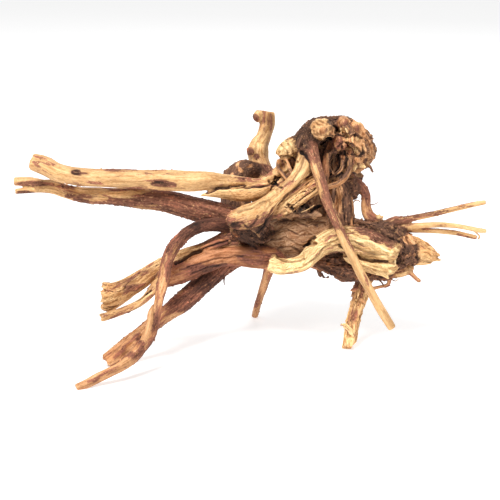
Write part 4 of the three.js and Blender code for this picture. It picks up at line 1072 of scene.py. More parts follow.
class Strand:
    """A run as rings: their middles, directions, girths and places along it, in millimetres."""

    def __init__(self, points, phase, spacing):
        given = np.array(points, float)
        across, up, away, radius = given.T
        dense = curve_through(place(across, up, away))
        steps = np.concatenate([[0], np.cumsum(np.linalg.norm(np.diff(dense, axis=0), axis=1))])
        self.length = steps[-1]
        self.phase = phase
        rings = max(4, round(self.length / spacing))
        self.along = np.linspace(0, self.length, rings + 1)
        self.middle = np.column_stack([np.interp(self.along, steps, axis) for axis in dense.T])
        where = np.interp(self.along, steps, np.arange(len(dense)) / CURVE_STEPS)
        self.girth = girth_through(radius * (1 + away / VIEW_DISTANCE), where)
        self.ahead = np.gradient(self.middle, axis=0)
        self.ahead /= np.linalg.norm(self.ahead, axis=1)[:, None]
        self.side = self._carried_side()
        self.other = np.cross(self.ahead, self.side)

    def _carried_side(self):
        """A direction across each ring, carried along the run without twist."""
        first = self.ahead[0]
        least = np.eye(3)[np.argmin(np.abs(first))]
        side = np.cross(first, np.cross(first, least))
        sides = []
        for ahead in self.ahead:
            side = side - ahead * (side @ ahead)
            side /= np.linalg.norm(side)
            sides.append(side)
        return np.array(sides)

    def surface(self, ring, angle, flute, knobs, flat):
        """Places on the run's surface, in millimetres."""
        along = self.along[ring]
        reach = self.girth[ring] * (
            1 + flute * grooves(angle, along, self.phase) + knobs * swelling(along, self.phase)
        )
        out = self.side[ring] * (reach * np.cos(angle))[:, None]
        out += self.other[ring] * (reach * np.sin(angle))[:, None]
        out -= np.multiply.outer((1 - flat) * (out @ AWAY), AWAY)
        return self.middle[ring] + out


def coordinates(mesh):
    values = np.empty(len(mesh.vertices) * 3, np.float32)
    mesh.vertices.foreach_get("co", values)
    return values.reshape(-1, 3).astype(float)


def set_coordinates(mesh, points):
    mesh.vertices.foreach_set("co", points.astype(np.float32).ravel())
    mesh.update()


def normals(mesh):
    values = np.empty(len(mesh.vertices) * 3, np.float32)
    mesh.vertex_normals.foreach_get("vector", values)
    return values.reshape(-1, 3).astype(float)


def edge_ends(mesh):
    values = np.empty(len(mesh.edges) * 2, np.int32)
    mesh.edges.foreach_get("vertices", values)
    return values.reshape(-1, 2)


def neighbour_mean(values, ends):
    """The mean of each vertex's neighbours' values."""
    count = np.bincount(ends.ravel(), minlength=len(values))
    columns = values.reshape(len(values), -1)
    total = np.empty_like(columns)
    for i, column in enumerate(columns.T):
        total[:, i] = np.bincount(ends[:, 0], column[ends[:, 1]], len(values))
        total[:, i] += np.bincount(ends[:, 1], column[ends[:, 0]], len(values))
    return (total / np.maximum(count, 1)[:, None]).reshape(values.shape)


def smoothed(values, ends, times):
    """The values, each moved halfway to its neighbours' mean as many times."""
    for _ in range(times):
        values = values + 0.5 * (neighbour_mean(values, ends) - values)
    return values


def search_tree(points):
    """A tree that finds which of the points is nearest to a place."""
    tree = KDTree(len(points))
    for i, point in enumerate(points.tolist()):
        tree.insert(point, i)
    tree.balance()
    return tree


def add_object(name, mesh):
    piece = bpy.data.objects.new(name, mesh)
    bpy.context.scene.collection.objects.link(piece)
    return piece


def bake_modifiers(piece):
    """Applies the piece's modifiers to its mesh."""
    evaluated = piece.evaluated_get(bpy.context.evaluated_depsgraph_get())
    mesh = bpy.data.meshes.new_from_object(evaluated)
    piece.modifiers.clear()
    piece.data = mesh
    return mesh


def remesh(piece, voxel):
    modifier = piece.modifiers.new("Fuse", "REMESH")
    modifier.mode = "VOXEL"
    modifier.voxel_size = voxel
    modifier.use_smooth_shade = True
    return bake_modifiers(piece)


def tube(bm, strand, flute, knobs, flat, sides):
    """Adds a strand's closed surface to the mesh, and returns each vertex's ring and place."""
    rings = len(strand.along) - 1
    rolled = bmesh.new()
    bmesh.ops.create_grid(rolled, x_segments=sides, y_segments=rings, size=0.5)
    sheet = bpy.data.meshes.new("sheet")
    rolled.to_mesh(sheet)
    rolled.free()
    flat_places = coordinates(sheet)
    angle = (flat_places[:, 0] + 0.5) * 2 * math.pi
    ring = np.rint((flat_places[:, 1] + 0.5) * rings).astype(int)
    places = strand.surface(ring, angle, flute, knobs, flat)
    set_coordinates(sheet, places * MM)
    bm.from_mesh(sheet)
    bpy.data.meshes.remove(sheet)
    return ring, places


def rough_ball(bm, lump, detail, phase):
    """Adds a stretched, roughened ball to the mesh, and returns its vertices' places."""
    across, up, away, width, height, depth, roughness = lump
    middle = place(*(np.array([v], float) for v in (across, up, away)))[0]
    enlarged = 1 + away / VIEW_DISTANCE
    ball = bmesh.new()
    bmesh.ops.create_icosphere(ball, subdivisions=detail, radius=1)
    mesh = bpy.data.meshes.new("ball")
    ball.to_mesh(mesh)
    ball.free()
    way = coordinates(mesh)
    x, y, z = way.T
    waves = np.sin(5 * x + 4 * y + phase) + np.sin(6 * y - 5 * z + 2 * phase)
    waves = waves + np.sin(7 * z + 5 * x + 3 * phase)
    rough = (1 + roughness / 3 * waves)[:, None] * enlarged
    places = middle + rough * (
        np.multiply.outer(x * width, RIGHT)
        + np.multiply.outer(y * height, UP)
        - np.multiply.outer(z * depth, AWAY)
    )
    set_coordinates(mesh, places * MM)
    bm.from_mesh(mesh)
    bpy.data.meshes.remove(mesh)
    return middle, (width + height + depth) / 3, places


def closed_mesh(bm, name):
    """The mesh with its seams welded and its ends closed, facing outwards."""
    bmesh.ops.remove_doubles(bm, verts=bm.verts, dist=WELD_GAP)
    bmesh.ops.holes_fill(bm, edges=bm.edges, sides=0)
    bmesh.ops.recalc_face_normals(bm, faces=bm.faces)
    mesh = bpy.data.meshes.new(name)
    bm.to_mesh(mesh)
    bm.free()
    return mesh


class Grain:
    """The strands' rings, against which each place of the skin is read."""

    def __init__(self, colours):
        self.colours = colours
        self.parts = []
        self.sources = []
        self.source_rings = []
        self.count = 0
        self.strands = 0

    def add(self, look, strand, ring, places, torn=0):
        wood, bark, cover, rough = look
        given = np.linspace(0, strand.length, len(cover))
        rings = len(strand.along)
        self._keep(
            places, ring, middle=strand.middle, ahead=strand.ahead, side=strand.side, other=strand.other,
            girth=strand.girth, along=strand.along, end=np.full(rings, strand.length),
            wood=np.tile(self.colours[wood], (rings, 1)), bark=np.tile(self.colours[bark], (rings, 1)),
            cover=np.interp(strand.along, given, cover), rough=np.full(rings, rough),
            strand=np.full(rings, self.strands), torn=np.full(rings, torn),
        )

    def add_lump(self, look, middle, size, places):
        wood, bark, cover, rough = look
        self._keep(
            places, np.zeros(len(places), int), middle=[middle], ahead=[UP], side=[RIGHT], other=[AWAY],
            girth=[size], along=[size], end=[2 * size],
            wood=[self.colours[wood]], bark=[self.colours[bark]],
            cover=[cover], rough=[rough], strand=[self.strands], torn=[0],
        )

    def _keep(self, places, ring, **rings):
        rings = {name: np.array(values, float) for name, values in rings.items()}
        self.parts.append(rings)
        self.sources.append(places)
        self.source_rings.append(ring + self.count)
        self.count += len(rings["strand"])
        self.strands += 1

    def read(self, points):
        """What the nearest strand is like at each place, with the place along it and across it."""
        sources = np.concatenate(self.sources)
        source_rings = np.concatenate(self.source_rings)
        tree = search_tree(sources)
        ring = source_rings[[tree.find(point)[1] for point in points.tolist()]]
        found = {
            name: np.concatenate([part[name] for part in self.parts])[ring] for name in self.parts[0]
        }
        offset = points - found["middle"]
        found["along"] = found["along"] + (offset * found["ahead"]).sum(1)
        found["across"] = np.column_stack(
            [(offset * found[name]).sum(1) for name in ("side", "other")]
        )
        return found


def waves_at(points, size, shift=0.0):
    """Smooth noise, from about -1 to 1, at places divided by the size."""
    scaled = points / np.array(size) + shift
    return np.array([noise.noise(point) for point in scaled.tolist()])


def step_up(value, low, high):
    """0 below low, 1 above high, and a smooth rise between."""
    share = np.clip((value - low) / (high - low), 0, 1)
    return share * share * (3 - 2 * share)


def distance_to(route, across, up):
    """How far each place is from a route of straight lengths, as seen from the front."""
    nearest = np.full(len(across), np.inf)
    for (x0, y0), (x1, y1) in zip(route, route[1:]):
        length = (x1 - x0) ** 2 + (y1 - y0) ** 2
        share = np.clip(((across - x0) * (x1 - x0) + (up - y0) * (y1 - y0)) / length, 0, 1)
        gap = np.hypot(across - x0 - share * (x1 - x0), up - y0 - share * (y1 - y0))
        nearest = np.minimum(nearest, gap)
    return nearest


def faces_front(mesh):
    """1 for each vertex that nothing covers, seen from the front."""
    points, facing = coordinates(mesh), normals(mesh)
    tree = BVHTree.FromPolygons(points.tolist(), [tuple(p.vertices) for p in mesh.polygons])
    eye = (MIDDLE - AWAY * VIEW_DISTANCE) * MM
    outside = points + facing * CLEARANCE * MM
    front = np.zeros(len(points))
    toward = ((eye - points) * facing).sum(1) > 0
    for i in np.flatnonzero(toward).tolist():
        start = Vector(outside[i])
        front[i] = tree.ray_cast(start, Vector(eye) - start)[0] is None
    return front


def strands(spacing):
    """Every run and vein: its name, shape, look and rings."""
    for i, (name, run) in enumerate(RUNS.items()):
        yield name, run, LOOKS[name], Strand(run["points"], i * GOLDEN_ANGLE, spacing)
    for i, (name, points) in enumerate(VEINS.items()):
        shape = {"flute": VEIN_FLUTE, "knobs": VEIN_KNOBS, "flat": FLAT_VEINS.get(name, 1)}
        look = VEIN_LOOKS[name.split("_")[0]]
        yield name, shape, look, Strand(points, (len(RUNS) + i) * GOLDEN_ANGLE, spacing)


def sides_of(strand):
    return int(np.clip(round(2 * math.pi * strand.girth.max() / SIDE_WIDTH), LEAST_SIDES, MOST_SIDES))


def raw_root(grain):
    """Every strand and lump as a closed shell, overlapping the others."""
    bm = bmesh.new()
    for name, run, look, strand in strands(RING_SPACING):
        ring, places = tube(bm, strand, run["flute"], run["knobs"], run.get("flat", 1), sides_of(strand))
        grain.add(look, strand, ring, places, TORN_ENDS.get(name, 0))
    for i, (name, lump) in enumerate(LUMPS.items()):
        middle, size, places = rough_ball(bm, lump, LUMP_DETAIL, i * GOLDEN_ANGLE)
        grain.add_lump(LUMP_LOOKS[name], middle, size, places)
    burrs(bm, grain)
    return add_object("raw_root", closed_mesh(bm, "raw_root"))


def burrs(bm, grain):
    """Adds short curled strands, which stand a little out of the wood."""
    chance = np.random.default_rng(BURR_SEED)
    for across, up, away, width, height, depth, count, length, radius, look in BURRS:
        for _ in range(count):
            way = chance.normal(size=3)
            way /= np.linalg.norm(way)
            turn = np.cross(way, chance.normal(size=3))
            turn /= np.linalg.norm(turn)
            reach = length * chance.uniform(*BURR_REACH)
            points = []
            for share in np.linspace(-0.5, 0.5, BURR_PLACES):
                rise = BURR_CURL * reach * (0.3 - 2 * share**2)
                at = np.array([width, height, depth]) * way + turn * reach * share + way * rise
                girth = radius * chance.uniform(*BURR_GIRTH) * (1.1 - share**2 * 2.5)
                points.append([across + at[0], up + at[1], away + at[2], girth])
            strand = Strand(points, chance.uniform(0, 6), BURR_SPACING)
            ring, places = tube(bm, strand, BURR_FLUTE, BURR_KNOBS, 1, BURR_SIDES)
            grain.add(BURR_LOOKS[look], strand, ring, places)


def cutter():
    """The hollows and the ground, as one solid to cut away."""
    bm = bmesh.new()
    for i, hollow in enumerate(HOLLOWS.values()):
        rough_ball(bm, hollow, LUMP_DETAIL, i * GOLDEN_ANGLE)
    hollows = add_object("hollows", closed_mesh(bm, "hollows"))
    remesh(hollows, HOLLOW_VOXEL * MM)
    bm = bmesh.new()
    bm.from_mesh(hollows.data)
    size = Matrix.Diagonal((GROUND_WIDTH, GROUND_WIDTH, GROUND_DEPTH, 1))
    below = Matrix.Translation((0, 0, -GROUND_DEPTH / 2))
    bmesh.ops.create_cube(bm, size=1, matrix=below @ size)
    bm.to_mesh(hollows.data)
    bm.free()
    return hollows


def cut_away(piece, tool):
    modifier = piece.modifiers.new("Cut", "BOOLEAN")
    modifier.operation = "DIFFERENCE"
    modifier.solver = "MANIFOLD"
    modifier.object = tool
    bake_modifiers(piece)
    bpy.data.objects.remove(tool)


def keep_largest(piece):
    """Deletes loose scraps, which the fusing leaves where two strands nearly touch."""
    bm = bmesh.new()
    bm.from_mesh(piece.data)
    seen = set()
    groups = []
    for first in bm.verts:
        if first in seen:
            continue
        seen.add(first)
        group = [first]
        for vert in group:
            for edge in vert.link_edges:
                other = edge.other_vert(vert)
                if other not in seen:
                    seen.add(other)
                    group.append(other)
        groups.append(group)
    groups.sort(key=len)
    scraps = [vert for group in groups[:-1] for vert in group]
    bmesh.ops.delete(bm, geom=scraps, context="VERTS")
    bm.to_mesh(piece.data)
    bm.free()


def openness(piece):
    """How open each vertex is to light, far and near: 1 in the open, 0 deep in a hollow or a cleft."""
    coarse = add_object("coarse", piece.data.copy())
    remesh(coarse, SHADE_VOXEL * MM)
    mesh = coarse.data
    points, facing = coordinates(mesh), normals(mesh)
    tree = BVHTree.FromPolygons(points.tolist(), [tuple(p.vertices) for p in mesh.polygons])
    chance = random.Random(SHADE_SEED)
    ways = []
    while len(ways) < SHADE_RAYS:
        way = Vector((chance.uniform(-1, 1), chance.uniform(-1, 1), chance.uniform(-1, 1)))
        if 0.1 < way.length < 1:
            ways.append(way.normalized())
    far_share = np.empty(len(points))
    near_share = np.empty(len(points))
    for i, (point, normal) in enumerate(zip(points.tolist(), facing.tolist())):
        normal = Vector(normal)
        start = Vector(point) + normal * SHADE_VOXEL * MM / 2
        far = near = total = 0
        for way in ways:
            lift = way.dot(normal)
            if lift < 0:
                way, lift = -way, -lift
            total += lift
            distance = tree.ray_cast(start, way, SHADE_REACH * MM)[3]
            share = 1 if distance is None else distance / (SHADE_REACH * MM)
            far += lift * share
            near += lift * min(1, share * SHADE_REACH / CLEFT_REACH)
        far_share[i] = far / total
        near_share[i] = near / total
    ends = edge_ends(mesh)
    closest = search_tree(points)
    nearest = [closest.find(point)[1] for point in coordinates(piece.data).tolist()]
    bpy.data.objects.remove(coarse)
    return {
        "open": smoothed(far_share, ends, 2)[nearest],
        "clear": smoothed(near_share, ends, 1)[nearest],
    }


def put_look(mesh, name, values):
    """Stores one of the looks as an attribute of the mesh."""
    kind = LOOK_KINDS[name]
    attribute = mesh.attributes.new(name, kind, "POINT")
    if kind == COLOUR:
        values = np.column_stack([values, np.ones(len(values))])
    attribute.data.foreach_set(ATTRIBUTE_FIELDS[kind][0], values.astype(np.float32).ravel())


def read_look(mesh, name):
    """One of the looks, with a row for each vertex."""
    field, width = ATTRIBUTE_FIELDS[LOOK_KINDS[name]]
    values = np.empty(len(mesh.vertices) * width, np.float32)
    mesh.attributes[name].data.foreach_get(field, values)
    values = values.astype(float).reshape(-1, width)[:, :3]
    return values[:, 0] if width == 1 else values


def mixed(patterns, shares):
    """Patterns added up, each as much as its share says."""
    return sum(share * patterns[name] for name, share in shares.items())


def long_lines(grain, size, shift, half_width, fade, stretch, stretch_shift, start, full):
    """Lines along the grain in some stretches of it: 1 in their middle, 0 beside them."""
    lines = step_up(half_width - np.abs(waves_at(grain, size, shift)), 0, fade)
    return lines * step_up(waves_at(grain, stretch, stretch_shift), start, full)


def strand_seams(found, ends):
    """1 where two strands meet, and less beside that."""
    apart = found["strand"][ends[:, 0]] != found["strand"][ends[:, 1]]
    seam = np.zeros(len(found["strand"]))
    seam[ends[apart].ravel()] = 1
    return np.minimum(smoothed(seam, ends, 2) * 2, 1)


def wood_patterns(points, grain, torn_up):
    """Every pattern in the wood and bark, with the splits and furrows where it is torn up."""
    patterns = {name: waves_at(grain, size) for name, size in GRAIN_PATTERNS.items()}
    patterns |= {name: waves_at(points, size) for name, size in PLACE_PATTERNS.items()}
    patterns["lumpy"] = mixed(patterns, LUMP_SHARES)
    bend = np.column_stack([waves_at(points, FOLD_BEND_SIZE, shift) for shift in FOLD_SHIFTS])
    patterns["folds"] = 1 - FOLD_SHARPNESS * np.abs(waves_at(points + FOLD_BEND * bend, FOLD_SIZE))
    patterns["splits"] = long_lines(grain, **SPLITS) * torn_up
    patterns["furrows"] = long_lines(grain, **FURROWS) * torn_up
    return patterns


def marked(mesh, found, ends, patches, cover, tone):
    """The bark's cover and the tone, changed by the front's marks and lines, and the lines' relief."""
    points = coordinates(mesh)
    view = view_axes(points)
    plain = np.isin(found["strand"], [list(RUNS).index(name) for name in PLAIN_RUNS])
    front = smoothed(faces_front(mesh) * ~plain, ends, 2)
    # A few marks also paint shade on undersides and a highlight on a top, along with bark and tone
    for across, up, width, height, more, lighter in MARKS:
        reach = ((view[:, 0] - across) / width) ** 2 + ((view[:, 1] - up) / height) ** 2
        inside = step_up(MARK_REACH - reach - PATCHINESS * patches, *MARK_FADE) * front
        cover = cover + inside * more
        tone = tone + inside * lighter
    sway = np.column_stack([waves_at(points / MM, LINE_WANDER_SIZE, shift) for shift in LINE_SHIFTS])
    wander = view[:, :2] + LINE_WANDER * sway
    creases = np.zeros(len(points))
    # Lines with lighter below 0 darken their creases: painted shade, with bark
    for width, depth, more, lighter, route in LINES:
        inside = step_up(distance_to(route, *wander.T) / width, *LINE_FADE) * front
        creases = creases - inside * depth
        cover = cover + inside * more
        tone = tone + inside * lighter
    return cover, tone, creases


def torn_back(found, shift):
    """How each place moves in along its strand, where the strand's end is torn."""
    from_start = found["along"] * 2 < found["end"]
    before_end = np.where(from_start, found["along"], found["end"] - found["along"])
    toward = np.where(from_start, 1, -1)[:, None] * found["ahead"]
    torn = np.maximum(found["torn"], 0.01)
    bitten = step_up(before_end, 2 * torn, -1) * torn
    uneven = TORN_UNEVENNESS * waves_at(found["across"] @ np.eye(2, 3) + shift, TORN_SIZE)
    return toward * (bitten * np.clip(0.5 + uneven, 0, 1))[:, None]


def weathered(mesh, found, settings):
    """Gives the skin its fibres, cracks, bark and bumps, and returns what the colours need."""
    points = coordinates(mesh) / MM
    ends = edge_ends(mesh)
    seam = strand_seams(found, ends)
    for name in ("wood", "bark", "cover", "rough", "girth", "torn"):
        found[name] = smoothed(found[name], ends, BLENDING)

    names = [*RUNS, *VEINS]
    wavy = np.isin(found["strand"], [i for i, name in enumerate(names) if name.startswith(WAVY)])
    wavy = smoothed(wavy * 1.0, ends, 3)
    shift = found["strand"][:, None] * np.array(STRAND_SHIFT)
    grain = np.column_stack([found["along"], found["across"]]) + shift
    sway = np.column_stack([waves_at(points, WAVY_LENGTH, shift) for shift in WAVY_SHIFTS])
    grain[:, 1:] += WAVY_REACH * wavy[:, None] * sway
    grain[:, 1:] *= 1 + WAVY_FINENESS * wavy[:, None]
    torn_up = step_up(found["rough"], *SPLITTING) * (1 - CALM * wavy)
    patterns = wood_patterns(points, grain, torn_up)
    patches = mixed(patterns, PATCH_SHARES)
    cover = found["cover"] + PATCHINESS * patches
    tone = BROAD_TONE * patterns["broad"]
    cover, tone, creases = marked(mesh, found, ends, patches, cover, tone)
    bark = step_up(cover, *BARK_FADE)

    rough = found["rough"]
    slim = np.clip(found["girth"] / SLIM_GIRTH, LEAST_SLIM, 1)
    height = rough * mixed(patterns, WOOD_RELIEF)
    height += np.maximum(rough - GNARLED_FROM, 0) * mixed(patterns, GNARLED_RELIEF)
    thickness = bark * (BARK_THICKNESS + BARK_CRACKLE * patterns["crackle"])
    height += thickness - SPLIT_DEPTH * patterns["splits"] * rough
    height = (height * slim + creases) * settings.relief
    height = np.where(seam > 0, smoothed(height, ends, 3), height)
    facing = normals(mesh)
    points = points + facing * height[:, None] + torn_back(found, shift)

    # How hollow each place is; the material darkens hollows with dirt and painted shade
    hollow = ((smoothed(points, ends, HOLLOW_REACH) - points) * facing).sum(1)
    low, high = (np.array(corner) / MM for corner in CAD_BOX)
    set_coordinates(mesh, np.clip(points, low, high) * MM)
    past_end = np.maximum(-found["along"], found["along"] - found["end"])
    cut = step_up(past_end, *RING_FADE) * (found["girth"] > RING_GIRTH)
    from_core = np.linalg.norm(found["across"], axis=1)
    tone = tone + cut * RING_TONE * np.sin(from_core * 2 * math.pi / RING_WIDTH + 2 * patterns["lumpy"])
    return {
        "grain": grain, "wood": found["wood"], "bark": found["bark"], "cover": cover, "tone": tone,
        "seam": seam, "hollow": hollow, "cut": cut, "rough": rough, "ahead": found["ahead"],
        # Where the material paints shade: in splits, and less in furrows
        "splits": np.maximum(patterns["splits"], FURROW_SHADE * patterns["furrows"]),
    }


class Value:
    """A socket in a material, for writing its maths as plain expressions."""

    def __init__(self, finish, socket):
        self.finish = finish
        self.socket = socket

    def __add__(self, other):
        return self.finish.maths("ADD", self, other)

    def __sub__(self, other):
        return self.finish.maths("SUBTRACT", self, other)

    def __rsub__(self, other):
        return self.finish.maths("SUBTRACT", other, self)

    def __mul__(self, other):
        return self.finish.maths("MULTIPLY", self, other)

    __radd__ = __add__
    __rmul__ = __mul__


class Finish:
    """A material, made node by node."""

    def __init__(self, name):
        self.material = bpy.data.materials.new(name)
        self.material.use_nodes = True
        self.tree = self.material.node_tree
        self.tree.nodes.clear()

    def node(self, kind, settings=None, inputs=None, outlet=None):
        """Adds a node: its settings first, then its sockets' values or links."""
        node = self.tree.nodes.new(kind)
        for name, value in (settings or {}).items():
            setattr(node, name, value)
        for key, value in (inputs or {}).items():
            socket = self._socket(node.inputs, key)
            if isinstance(value, Value):
                self.tree.links.new(value.socket, socket)
            else:
                socket.default_value = value
        if len(node.outputs) == 0:
            return None
        return Value(self, self._socket(node.outputs, outlet or 0))

    def _socket(self, sockets, key):
        shown = [socket for socket in sockets if socket.enabled]
        if isinstance(key, int):
            return shown[key]
        return next(socket for socket in shown if socket.name == key)

    def maths(self, operation, first, second):
        return self.node("ShaderNodeMath", {"operation": operation}, {0: first, 1: second})

    def attribute(self, name, outlet="Fac"):
        return self.node("ShaderNodeAttribute", {"attribute_name": name}, outlet=outlet)

    def times(self, vector, factors):
        return self.node("ShaderNodeVectorMath", {"operation": "MULTIPLY"}, {0: vector, 1: factors})

    def pattern(self, grain, sizes, detail, roughness, distortion):
        """Noise as large as the sizes, along the grain and across it."""
        inputs = {
            "Vector": self.times(grain, tuple(1 / size for size in sizes)), "Scale": 1.0,
            "Detail": detail, "Roughness": roughness, "Distortion": distortion,
        }
        return self.node("ShaderNodeTexNoise", {"noise_dimensions": "3D"}, inputs)

    def rise(self, value, low, high):
        """0 where the value is below low, 1 above high, and a smooth rise between."""
        inputs = {"Value": value, "From Min": low, "From Max": high, "To Min": 0.0, "To Max": 1.0}
        return self.node("ShaderNodeMapRange", {"interpolation_type": "SMOOTHSTEP"}, inputs)

    def blend(self, share, first, second):
        inputs = {"Factor": share, "A": first, "B": second}
        return self.node("ShaderNodeMix", {"data_type": "RGBA", "clamp_factor": True}, inputs)

    def toned(self, colour, share, tint):
        """The colour, tinted as much as the share says."""
        return self.blend(share, colour, self.times(colour, tint))

    def scaled(self, colour, share):
        inputs = {"Vector": colour, "Scale": share}
        return self.node("ShaderNodeVectorMath", {"operation": "SCALE"}, inputs)

    def surface(self, colour, roughness, bump, bump_depth, specular):
        inputs = {"Strength": 1.0, "Distance": bump_depth, "Height": bump}
        normal = self.node("ShaderNodeBump", None, inputs)
        inputs = {"Base Color": colour, "Roughness": roughness, "Normal": normal}
        shader = self.node("ShaderNodeBsdfPrincipled", None, inputs | {"Specular IOR Level": specular})
        self.node("ShaderNodeOutputMaterial", None, {"Surface": shader})
        return self.material


def root_wood(settings):
    """Wood and bark, with streaks and fibres along each strand, dirt and painted shade in its hollows,
    and painted shade in its clefts, closed-in places and splits.
    """
    finish = Finish("root wood")
    grain = finish.attribute("grain", "Vector")
    wood = finish.attribute("wood", "Color")
    bark = finish.attribute("bark", "Color")
    clear = 1 - finish.attribute("seam")
    hollow = finish.attribute("hollow")
    tone = finish.attribute("tone")
    made = (finish.pattern(grain, *pattern) for pattern in FINISH_PATTERNS.values())
    streaks, threads, stains, specks = made
    lively = 0.35 + 0.65 * finish.rise(finish.attribute("rough"), 0.35, 0.9)

    # Bare wood
    # Hollows get more dark streaks: dirt and painted shade
    shine = 0.4 * streaks + 0.45 * threads + 0.25 * specks - 0.05 + (0.12 * tone - 0.12 * hollow)
    darker = finish.rise(shine, 0.53, 0.42) * lively
    wood = finish.toned(wood, darker * 0.95, DARK_STREAK)
    wood = finish.toned(wood, finish.rise(shine, 0.50, 0.60) * 0.8, PALE_STREAK)
    warm = finish.rise(stains, 0.46, 0.66) * clear * lively
    wood = finish.toned(wood, warm * 0.65, WARM_STAIN)
    lines = finish.rise(threads + 0.4 * (specks - 0.5), 0.57, 0.66) * clear * lively
    wood = finish.toned(wood, lines * 0.75, DARK_THREAD)

    # Bark, and where it covers the wood
    bark = finish.toned(bark, finish.rise(shine, 0.51, 0.41) * 0.9, DARK_BARK)
    bark = finish.toned(bark, finish.rise(shine, 0.52, 0.60) * 0.75, PALE_BARK)
    flecks = finish.rise(specks + 0.5 * (threads - 0.5), 0.62, 0.68)
    bark = finish.blend(flecks * 0.6, bark, wood)
    ragged = finish.attribute("cover") + 1.6 * (streaks - 0.5) + 1.5 * (threads - 0.5)
    cover = finish.rise(ragged + 0.9 * (specks - 0.5), 0.42, 0.68)
    colour = finish.blend(cover * 0.94, wood, bark)

    # Dirt and painted shade in hollows, painted shade in clefts, in closed-in places and in splits, and
    # worn edges
    deep = finish.rise(hollow + 0.3 * (specks - 0.5), 0.08, 0.6)
    colour = finish.toned(colour, deep * 0.8, HOLLOW_DIRT_AND_SHADE)
    # Painted shade where near walls close in over the skin
    cleft = finish.rise(finish.attribute("clear"), 0.84, 0.3)
    colour = finish.toned(colour, cleft * 0.6, PAINTED_CLEFT_SHADE)
    # Painted shade where the skin is closed in from farther off
    shade = finish.rise(finish.attribute("open"), 0.7, 0.15)
    colour = finish.toned(colour, shade * 0.55, PAINTED_SHADE)
    # Painted shade in the splits, and less in the furrows
    colour = finish.toned(colour, finish.attribute("splits") * 0.8, SPLIT_SHADE)
    colour = finish.toned(colour, finish.rise(hollow, -0.06, -0.4) * 0.45, WORN_EDGE)

    # The tone, and the fresh wood of cut ends
    limits = {"Value": tone + 1.0, "Min": LEAST_TONE, "Max": MOST_TONE}
    colour = finish.scaled(colour, finish.node("ShaderNodeClamp", None, limits))
    ends = finish.blend(specks, (*linear(settings.cream), 1), (*linear(settings.amber), 1))
    colour = finish.blend(finish.attribute("cut") * 0.45, colour, ends)

    roughness = 0.5 + 0.22 * cover + 0.2 * specks
    bump = threads * 0.7 + streaks * 0.7 + 0.6 * specks
    return finish.surface(colour, roughness, bump, BUMP_DEPTH * MM, SPECULAR)


def part_between(mesh, low, high):
    """The part of the mesh between two upright planes, with flat closed cuts."""
    bm = bmesh.new()
    bm.from_mesh(mesh)
    for place_at, side in ((low, -1), (high, 1)):
        if place_at is None:
            continue
        everything = [*bm.verts, *bm.edges, *bm.faces]
        plane = {"plane_co": (place_at * MM, 0, 0), "plane_no": (side, 0, 0)}
        bmesh.ops.bisect_plane(bm, geom=everything, dist=WELD_GAP, clear_outer=True, **plane)
        rims = [edge for edge in bm.edges if edge.is_boundary]
        caps = bmesh.ops.holes_fill(bm, edges=rims, sides=0)["faces"]
        for face in bm.faces:
            face.smooth = True
        for face in caps:
            face.smooth = False
            for edge in face.edges:
                edge.smooth = False
    part = bpy.data.meshes.new("part")
    bm.to_mesh(part)
    bm.free()
    return part


def finish_piece(piece, material, name):
    piece.name = name
    piece.data.name = name
    piece.data.materials.clear()
    piece.data.materials.append(material)
    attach(piece, "root")


def colour_setting(name, description, default):
    return bpy.props.FloatVectorProperty(
        name=name, description=description, subtype="COLOR_GAMMA", default=default,
    )


class SpiderwoodSettings(bpy.types.PropertyGroup):
    """Sizes and colours of the root."""

    voxel: bpy.props.FloatProperty(
        name="Skin detail", description="Size of the finest forms of the skin, in millimetres",
        default=0.9, min=0.6, max=4,
    )
    relief: bpy.props.FloatProperty(
        name="Relief", description="How deep the grain, cracks and bark are", default=1.0, min=0, max=2,
    )
    most_triangles: bpy.props.IntProperty(
        name="Most triangles", description="How many triangles each piece of the skin may have",
        default=194000, min=1000,
    )
    pale: colour_setting("Pale wood", "Freshly bared wood", (0.92, 0.77, 0.54))
    cream: colour_setting("Cream wood", "Bare wood of the arms", (0.87, 0.69, 0.47))
    tan: colour_setting("Tan wood", "Older bare wood", (0.80, 0.59, 0.40))
    amber: colour_setting("Amber wood", "Orange brown wood", (0.70, 0.47, 0.31))
    ash: colour_setting("Ash wood", "Grey brown wood of the heart", (0.66, 0.50, 0.36))
    rust: colour_setting("Rust bark", "Red brown bark", (0.48, 0.29, 0.23))
    umber: colour_setting("Umber bark", "Dark bark", (0.35, 0.24, 0.19))
    floor: colour_setting("Floor", "Colour of the floor", (0.86, 0.86, 0.86))


class SPIDERWOOD_OT_skin(bpy.types.Operator):
    """Grow the skin of the root over its solid"""

    bl_idname = "spiderwood.skin"
    bl_label = "Skin"

    def execute(self, context):
        settings = context.scene.spiderwood
        names = ("pale", "cream", "tan", "amber", "ash", "rust", "umber")
        grain = Grain({name: linear(getattr(settings, name)) for name in names})
        skin = raw_root(grain)
        remesh(skin, settings.voxel * MM)
        cut_away(skin, cutter())
        remesh(skin, settings.voxel * MM)
        keep_largest(skin)
        mesh = skin.data
        ends = edge_ends(mesh)
        found = grain.read(coordinates(mesh) / MM)
        soft = np.clip(found["girth"] / SOFT_GIRTH, 0.15, 1)[:, None]
        points = coordinates(mesh)
        for _ in range(SOFTENING):
            points = points + 0.5 * soft * (neighbour_mean(points, ends) - points)
        set_coordinates(mesh, points)
        looks = weathered(mesh, found, settings)
        for name, values in (looks | openness(skin)).items():
            put_look(mesh, name, values)
        material = root_wood(settings)
        for name, low, high in zip(SKIN_PIECES, (None, *SKIN_CUTS), (*SKIN_CUTS, None)):
            piece = add_object(name, part_between(mesh, low, high))
            modifier = piece.modifiers.new("Thin", "DECIMATE")
            modifier.ratio = min(1, settings.most_triangles / (2 * len(piece.data.polygons)))
            bake_modifiers(piece)
            finish_piece(piece, material, name)
            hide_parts("spiderwood_root")
        bpy.data.objects.remove(skin)
        return {"FINISHED"}


